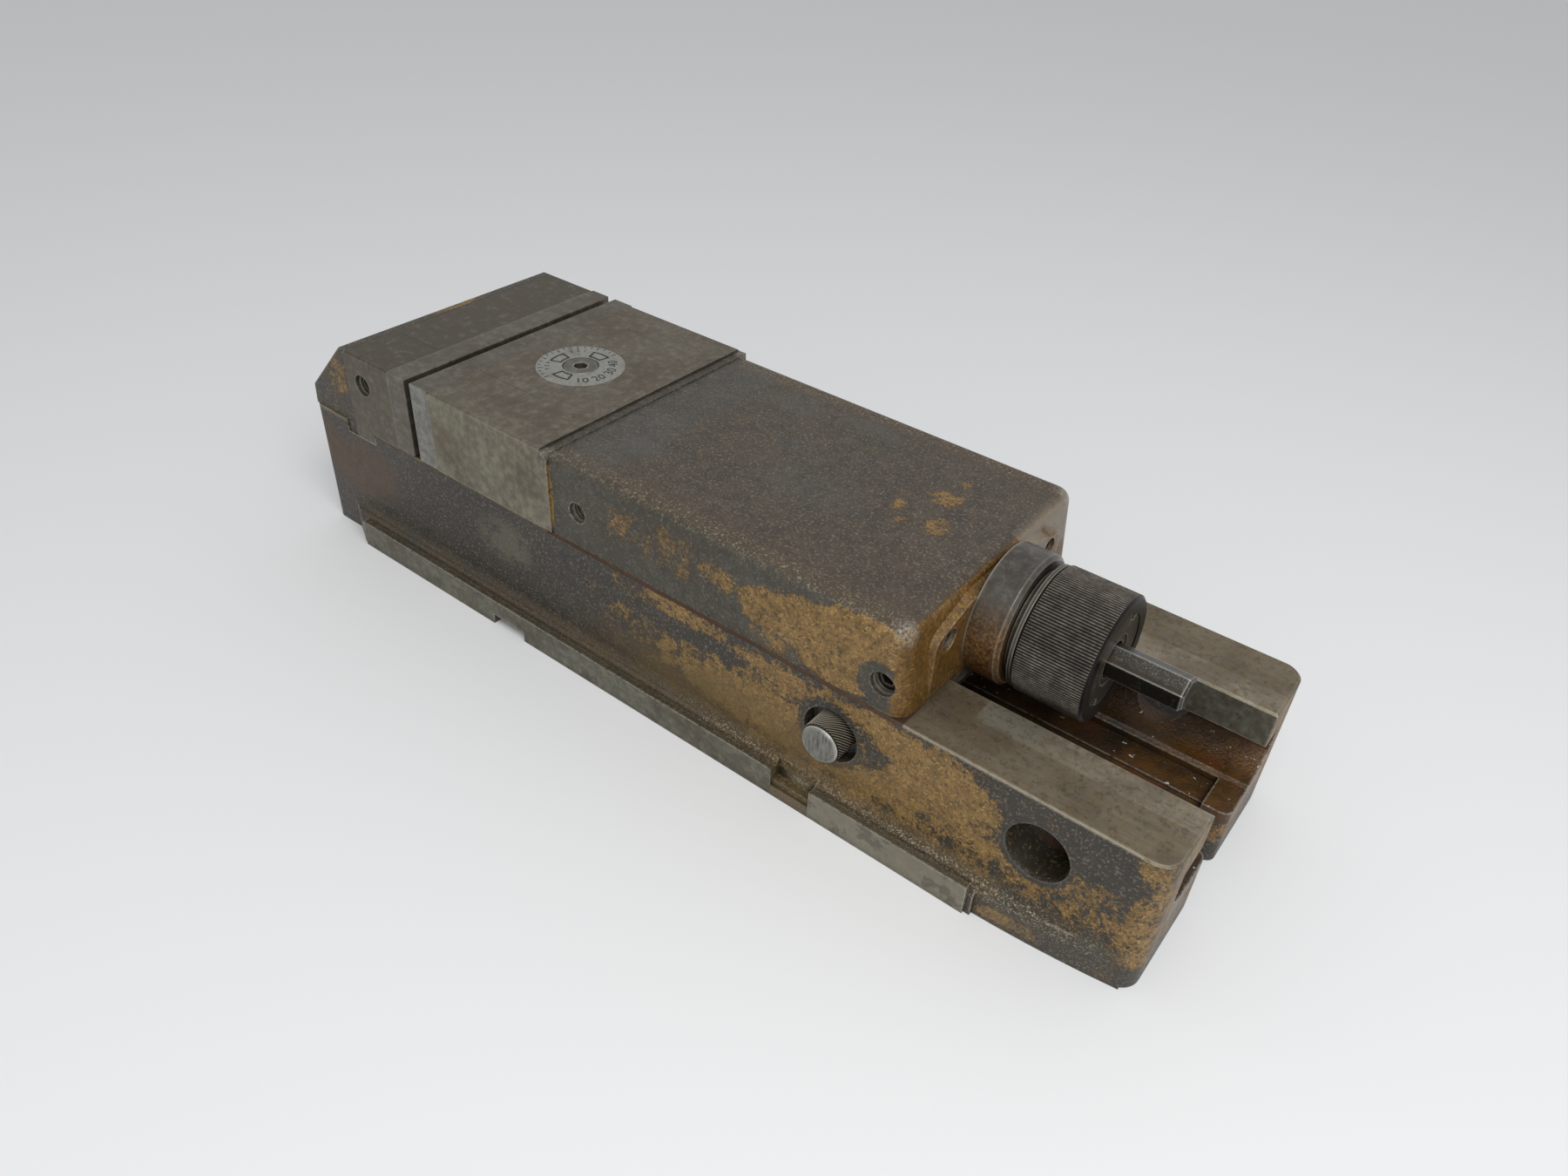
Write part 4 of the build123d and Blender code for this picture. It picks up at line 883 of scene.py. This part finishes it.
# Each plate's side colour is lighter than its top: a painted reflection
for plate, label, top, side in (
    ("fixed_jaw_plate", "fixed_plate_steel", srgb(110, 104, 95), srgb(114, 108, 98)),
    ("movable_jaw_plate", "moving_plate_steel", srgb(110, 104, 94), srgb(142, 141, 136)),
):
    dress(finish_steel(label, top, (60, 60, 900), edge=0.1, side=side), plate)
dress(finish_collar(), "bearing_collar")
dress(ring_black, "spacer_ring", "sleeve_end_ring")
dress(finish_sleeve(), "coupling_sleeve")
dress(finish_hexagon(), "drive_shaft")
dress(set_screw_steel, "side_set_screws")
dress(screw_steel, "dial_screw", "fixed_jaw_bolts", "fixed_plate_screws", "movable_plate_screws", "keeper_screws")
dress(
    finish_steel("inner_steel_oiled", srgb(134, 130, 122), (300, 300, 300), 0.35),
    "spindle_tube", "thrust_rod", "nut_block", "keeper_left", "keeper_right", "thrust_washers", "thrust_rollers",
    "pressure_plate", "booster_rollers", "booster_cup", "disc_springs", "booster_retainer", "front_thrust_washer",
    "clutch_ring", "clutch_spring",
)
dress(finish_bronze(), "nut_bush", "bearing_bush")
dress(finish_dial(), "dial_plate")
dress(finish_pin_face(), "locking_pin")


# New pieces
def keep_piece(name, shape, material, body):
    """Makes an object from the shape, with its faces outward, and lets it ride on a body."""
    bmesh.ops.remove_doubles(shape, verts=shape.verts, dist=mm(0.0005))
    bmesh.ops.recalc_face_normals(shape, faces=shape.faces)
    mesh = bpy.data.meshes.new(name)
    shape.to_mesh(mesh)
    shape.free()
    mesh.materials.append(material)
    piece = bpy.data.objects.new(name, mesh)
    bpy.context.scene.collection.objects.link(piece)
    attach(piece, body)


def chain(shape, points):
    """Vertices joined one after the other by edges."""
    verts = [shape.verts.new(point) for point in points]
    edges = [shape.edges.new(pair) for pair in zip(verts, verts[1:])]
    return verts, edges


def make_pin_knurl():
    """Diamond knurl around the pin's grip: every other point of a fine net stands proud."""
    axis_x = (pin_low.x + pin_high.x) / 2
    axis_z = (pin_low.z + pin_high.z) / 2
    grip_end = pin_low.y + mm(0.9)
    grip_root = pin_low.y + mm(13.9)
    grip_radius = mm(8.06)
    inner_radius = mm(7.4)
    rise = mm(0.44)
    rows = 20
    around = 80
    shape = bmesh.new()
    points = [(axis_x, grip_end, axis_z + inner_radius)]
    for row in range(rows + 1):
        points.append((axis_x, grip_end + (grip_root - grip_end) * row / rows, axis_z + grip_radius))
    points.append((axis_x, grip_root, axis_z + inner_radius))
    verts, edges = chain(shape, points)
    edges.append(shape.edges.new((verts[-1], verts[0])))
    bmesh.ops.spin(
        shape, geom=verts + edges, cent=(axis_x, 0, axis_z), axis=(0, 1, 0), angle=2 * math.pi, steps=around,
        use_merge=True,
    )
    for vert in shape.verts:
        out = Vector((vert.co.x - axis_x, 0, vert.co.z - axis_z))
        row = round((vert.co.y - grip_end) / (grip_root - grip_end) * rows)
        turn = round(math.atan2(out.x, out.z) / (2 * math.pi) * around)
        if out.length > mm(7.9) and 0 < row < rows and (row + turn) % 2 == 0:
            vert.co += out.normalized() * rise
    keep_piece("pin_knurl", shape, finish_knurl(), "pin")


def make_thread(name, mouth, inward, radius, depth, body):
    """Helical thread ridge that lines a tapped hole."""
    pitch = mm(1.5)
    ridge = mm(0.75)
    steps_a_turn = 36
    inward = Vector(inward)
    across = Vector((0, 0, 1))
    start = Vector(mouth) + inward * mm(0.7)
    turns = int((depth - mm(1.0)) / pitch)
    shape = bmesh.new()
    section = [
        shape.verts.new(start + across * (radius + mm(0.1))),
        shape.verts.new(start + inward * pitch * 0.5 + across * (radius - ridge)),
        shape.verts.new(start + inward * pitch * 0.96 + across * (radius + mm(0.1))),
    ]
    face = shape.faces.new(section)
    bmesh.ops.spin(
        shape, geom=[face] + section + list(face.edges), cent=mouth, axis=inward, angle=2 * math.pi * turns,
        steps=steps_a_turn * turns, dvec=inward * pitch / steps_a_turn,
    )
    keep_piece(name, shape, thread_steel, body)


def make_gap_webs():
    """Sloping cast webs that fill the gaps in the clamping ledges, one each side."""
    gap_start, gap_end = 213.65, 232.05
    wall_y, edge_y, width = 61.5, 69.2, 7.7
    floor_z, slope_z, rise, slope_steps = 0.2, 0.8, 14.0, 10
    profile = [(wall_y, floor_z), (edge_y, floor_z)]
    for i in range(slope_steps + 1):
        t = i / slope_steps
        profile.append((edge_y - width * t, slope_z + rise * (0.5 - 0.5 * math.cos(math.pi * t))))
    for side, label in ((-1, "right"), (1, "left")):
        shape = bmesh.new()
        face = shape.faces.new([shape.verts.new(place(gap_start, side * y, z)) for y, z in profile])
        bmesh.ops.extrude_face_region(shape, geom=[face])
        shape.verts.ensure_lookup_table()
        moved = shape.verts[len(profile):]
        bmesh.ops.translate(shape, vec=(mm(gap_end - gap_start), 0, 0), verts=moved)
        for face in shape.faces:
            face.smooth = len(face.verts) == 4 and abs(face.normal.x) < 0.5
        keep_piece("ledge_gap_web_" + label, shape, bed_finish, "bed")


def make_threads():
    """Threads in the visible tapped holes: fixed jaw, housing flanks and housing rear face."""
    for side, label in ((-1, "right"), (1, "left")):
        across, forward = (0, -side, 0), (-1, 0, 0)
        for hole, mouth, inward, radius, depth, body in (
            ("thread_fixed_jaw_", (-31.5, 62.5 * side, 87.5), across, 5.0, 16, "bed"),
            ("thread_front_", (104.5, 61.8 * side, 79.2), across, 4.5, 12, "carriage"),
            ("thread_set_", (set_screw_x, 61.8 * side, set_screw_z), across, 5.0, 4.0, "carriage"),
            ("thread_rear_", (262.9, 37 * side, 85.0), forward, 4.5, 6.4, "carriage"),
        ):
            make_thread(hole + label, place(*mouth), inward, mm(radius), mm(depth), body)


def add_bar(shape, middle, size, angle):
    """Flat bar on the dial, turned about the dial's middle."""
    made = bmesh.ops.create_cube(shape, size=1.0)["verts"]
    bmesh.ops.scale(shape, vec=size, verts=made)
    bmesh.ops.translate(shape, vec=middle, verts=made)
    bmesh.ops.rotate(shape, cent=(0, 0, 0), matrix=Matrix.Rotation(angle, 3, "Z"), verts=made)


def add_arc(shape, radius, width, start, end, print_height):
    """Arc band on the dial between two angles."""
    inner, outer = radius - width / 2, radius + width / 2
    corners = [(inner, 0, 0), (outer, 0, 0), (outer, 0, print_height), (inner, 0, print_height)]
    verts = [shape.verts.new(corner) for corner in corners]
    face = shape.faces.new(verts)
    geometry = [face] + verts + list(face.edges)
    bmesh.ops.rotate(shape, cent=(0, 0, 0), matrix=Matrix.Rotation(start, 3, "Z"), verts=verts)
    bmesh.ops.spin(shape, geom=geometry, cent=(0, 0, 0), axis=(0, 0, 1), angle=end - start, steps=16)


def add_number(shape, text, radius, angle, size, print_height):
    """A plain number on the dial, its head towards the middle."""
    curve = bpy.data.curves.new("dial_number_" + text, "FONT")
    curve.body = text
    curve.size = size
    curve.align_x = "CENTER"
    curve.align_y = "CENTER"
    curve.extrude = print_height / 2
    holder = bpy.data.objects.new("dial_number_" + text, curve)
    bpy.context.scene.collection.objects.link(holder)
    bpy.context.view_layer.update()
    solid = holder.evaluated_get(bpy.context.evaluated_depsgraph_get())
    mesh = bpy.data.meshes.new_from_object(solid)
    mesh.transform(Matrix.Rotation(angle + math.pi / 2, 4, "Z") @ Matrix.Translation((0, -radius, print_height / 2)))
    shape.from_mesh(mesh)
    bpy.data.objects.remove(holder)
    bpy.data.meshes.remove(mesh)
    bpy.data.curves.remove(curve)


def make_dial_print():
    """Dial marks: three outlined sectors around the screw, a ring of ticks and plain numbers."""
    print_height = mm(0.06)
    line = mm(0.9)
    half_sector = 17
    tick_end = mm(19.0)
    shape = bmesh.new()
    for angle in (-84, 94, 186):
        start, end = math.radians(angle - half_sector), math.radians(angle + half_sector)
        for radius in (mm(9.6), mm(14.4)):
            add_arc(shape, radius, line, start, end, print_height)
        for edge in (start, end):
            add_bar(shape, (mm(12.0), 0, print_height / 2), (mm(5.2), line, print_height), edge)
    for tick in range(19):
        angle = math.radians(80 + tick * 10)
        reach = mm(2.2) if tick % 3 == 0 else mm(1.2)
        add_bar(shape, (tick_end - reach / 2, 0, print_height / 2), (reach, mm(0.5), print_height), angle)
    for index, angle in enumerate((-42, -11, 20, 51)):
        add_number(shape, str((index + 1) * 10), mm(14.6), math.radians(angle), mm(6.2), print_height)
    for index, angle in enumerate((128, 140, 152, 212, 224, 236)):
        add_number(shape, str(index + 1), mm(15.0), math.radians(angle), mm(3.0), print_height)
    bmesh.ops.translate(shape, vec=(dial_middle.x, dial_middle.y, dial_high.z - mm(0.01)), verts=shape.verts)
    keep_piece("dial_marks", shape, finish_print(), "carriage")


make_pin_knurl()
make_gap_webs()
make_threads()
make_dial_print()


# Table, light and surroundings
def make_table():
    """Plain pale table far larger than the view."""
    mesh = bpy.data.meshes.new("table")
    shape = bmesh.new()
    bmesh.ops.create_grid(shape, x_segments=1, y_segments=1, size=6.0)
    shape.to_mesh(mesh)
    shape.free()
    table = bpy.data.objects.new("table", mesh)
    bpy.context.scene.collection.objects.link(table)
    material = bpy.data.materials.new("pale_table")
    material.use_nodes = True
    shader = material.node_tree.nodes["Principled BSDF"]
    shader.inputs["Base Color"].default_value = srgb(226, 227, 227)
    shader.inputs["Roughness"].default_value = 0.6
    mesh.materials.append(material)


def add_softbox(name, location, size, power):
    """Area light that looks at the middle of the vise."""
    light = bpy.data.lights.new(name, "AREA")
    light.shape = "RECTANGLE"
    light.size, light.size_y = size
    light.energy = power
    lamp = bpy.data.objects.new(name, light)
    lamp.location = location
    lamp.rotation_euler = (Vector((0, 0, mm(50))) - Vector(location)).to_track_quat("-Z", "Y").to_euler()
    bpy.context.scene.collection.objects.link(lamp)


def make_world():
    """Even pale surroundings: soft fill for the surfaces, pale backdrop for the camera and for reflections."""
    world = bpy.data.worlds.new("pale_room")
    bpy.context.scene.world = world
    world.use_nodes = True
    tree = world.node_tree
    path = tree.nodes.new("ShaderNodeLightPath").outputs
    seen = either(path["Is Camera Ray"], path["Is Glossy Ray"], path["Is Transmission Ray"])
    background = tree.nodes["Background"]
    tree.links.new(blend(seen, srgb(196, 196, 198), srgb(206, 206, 206)), background.inputs["Color"])
    background.inputs["Strength"].default_value = 1.0


make_table()
add_softbox("overhead_softbox", (0.6, -0.5, 1.0), (0.9, 0.7), 10.5)
make_world()
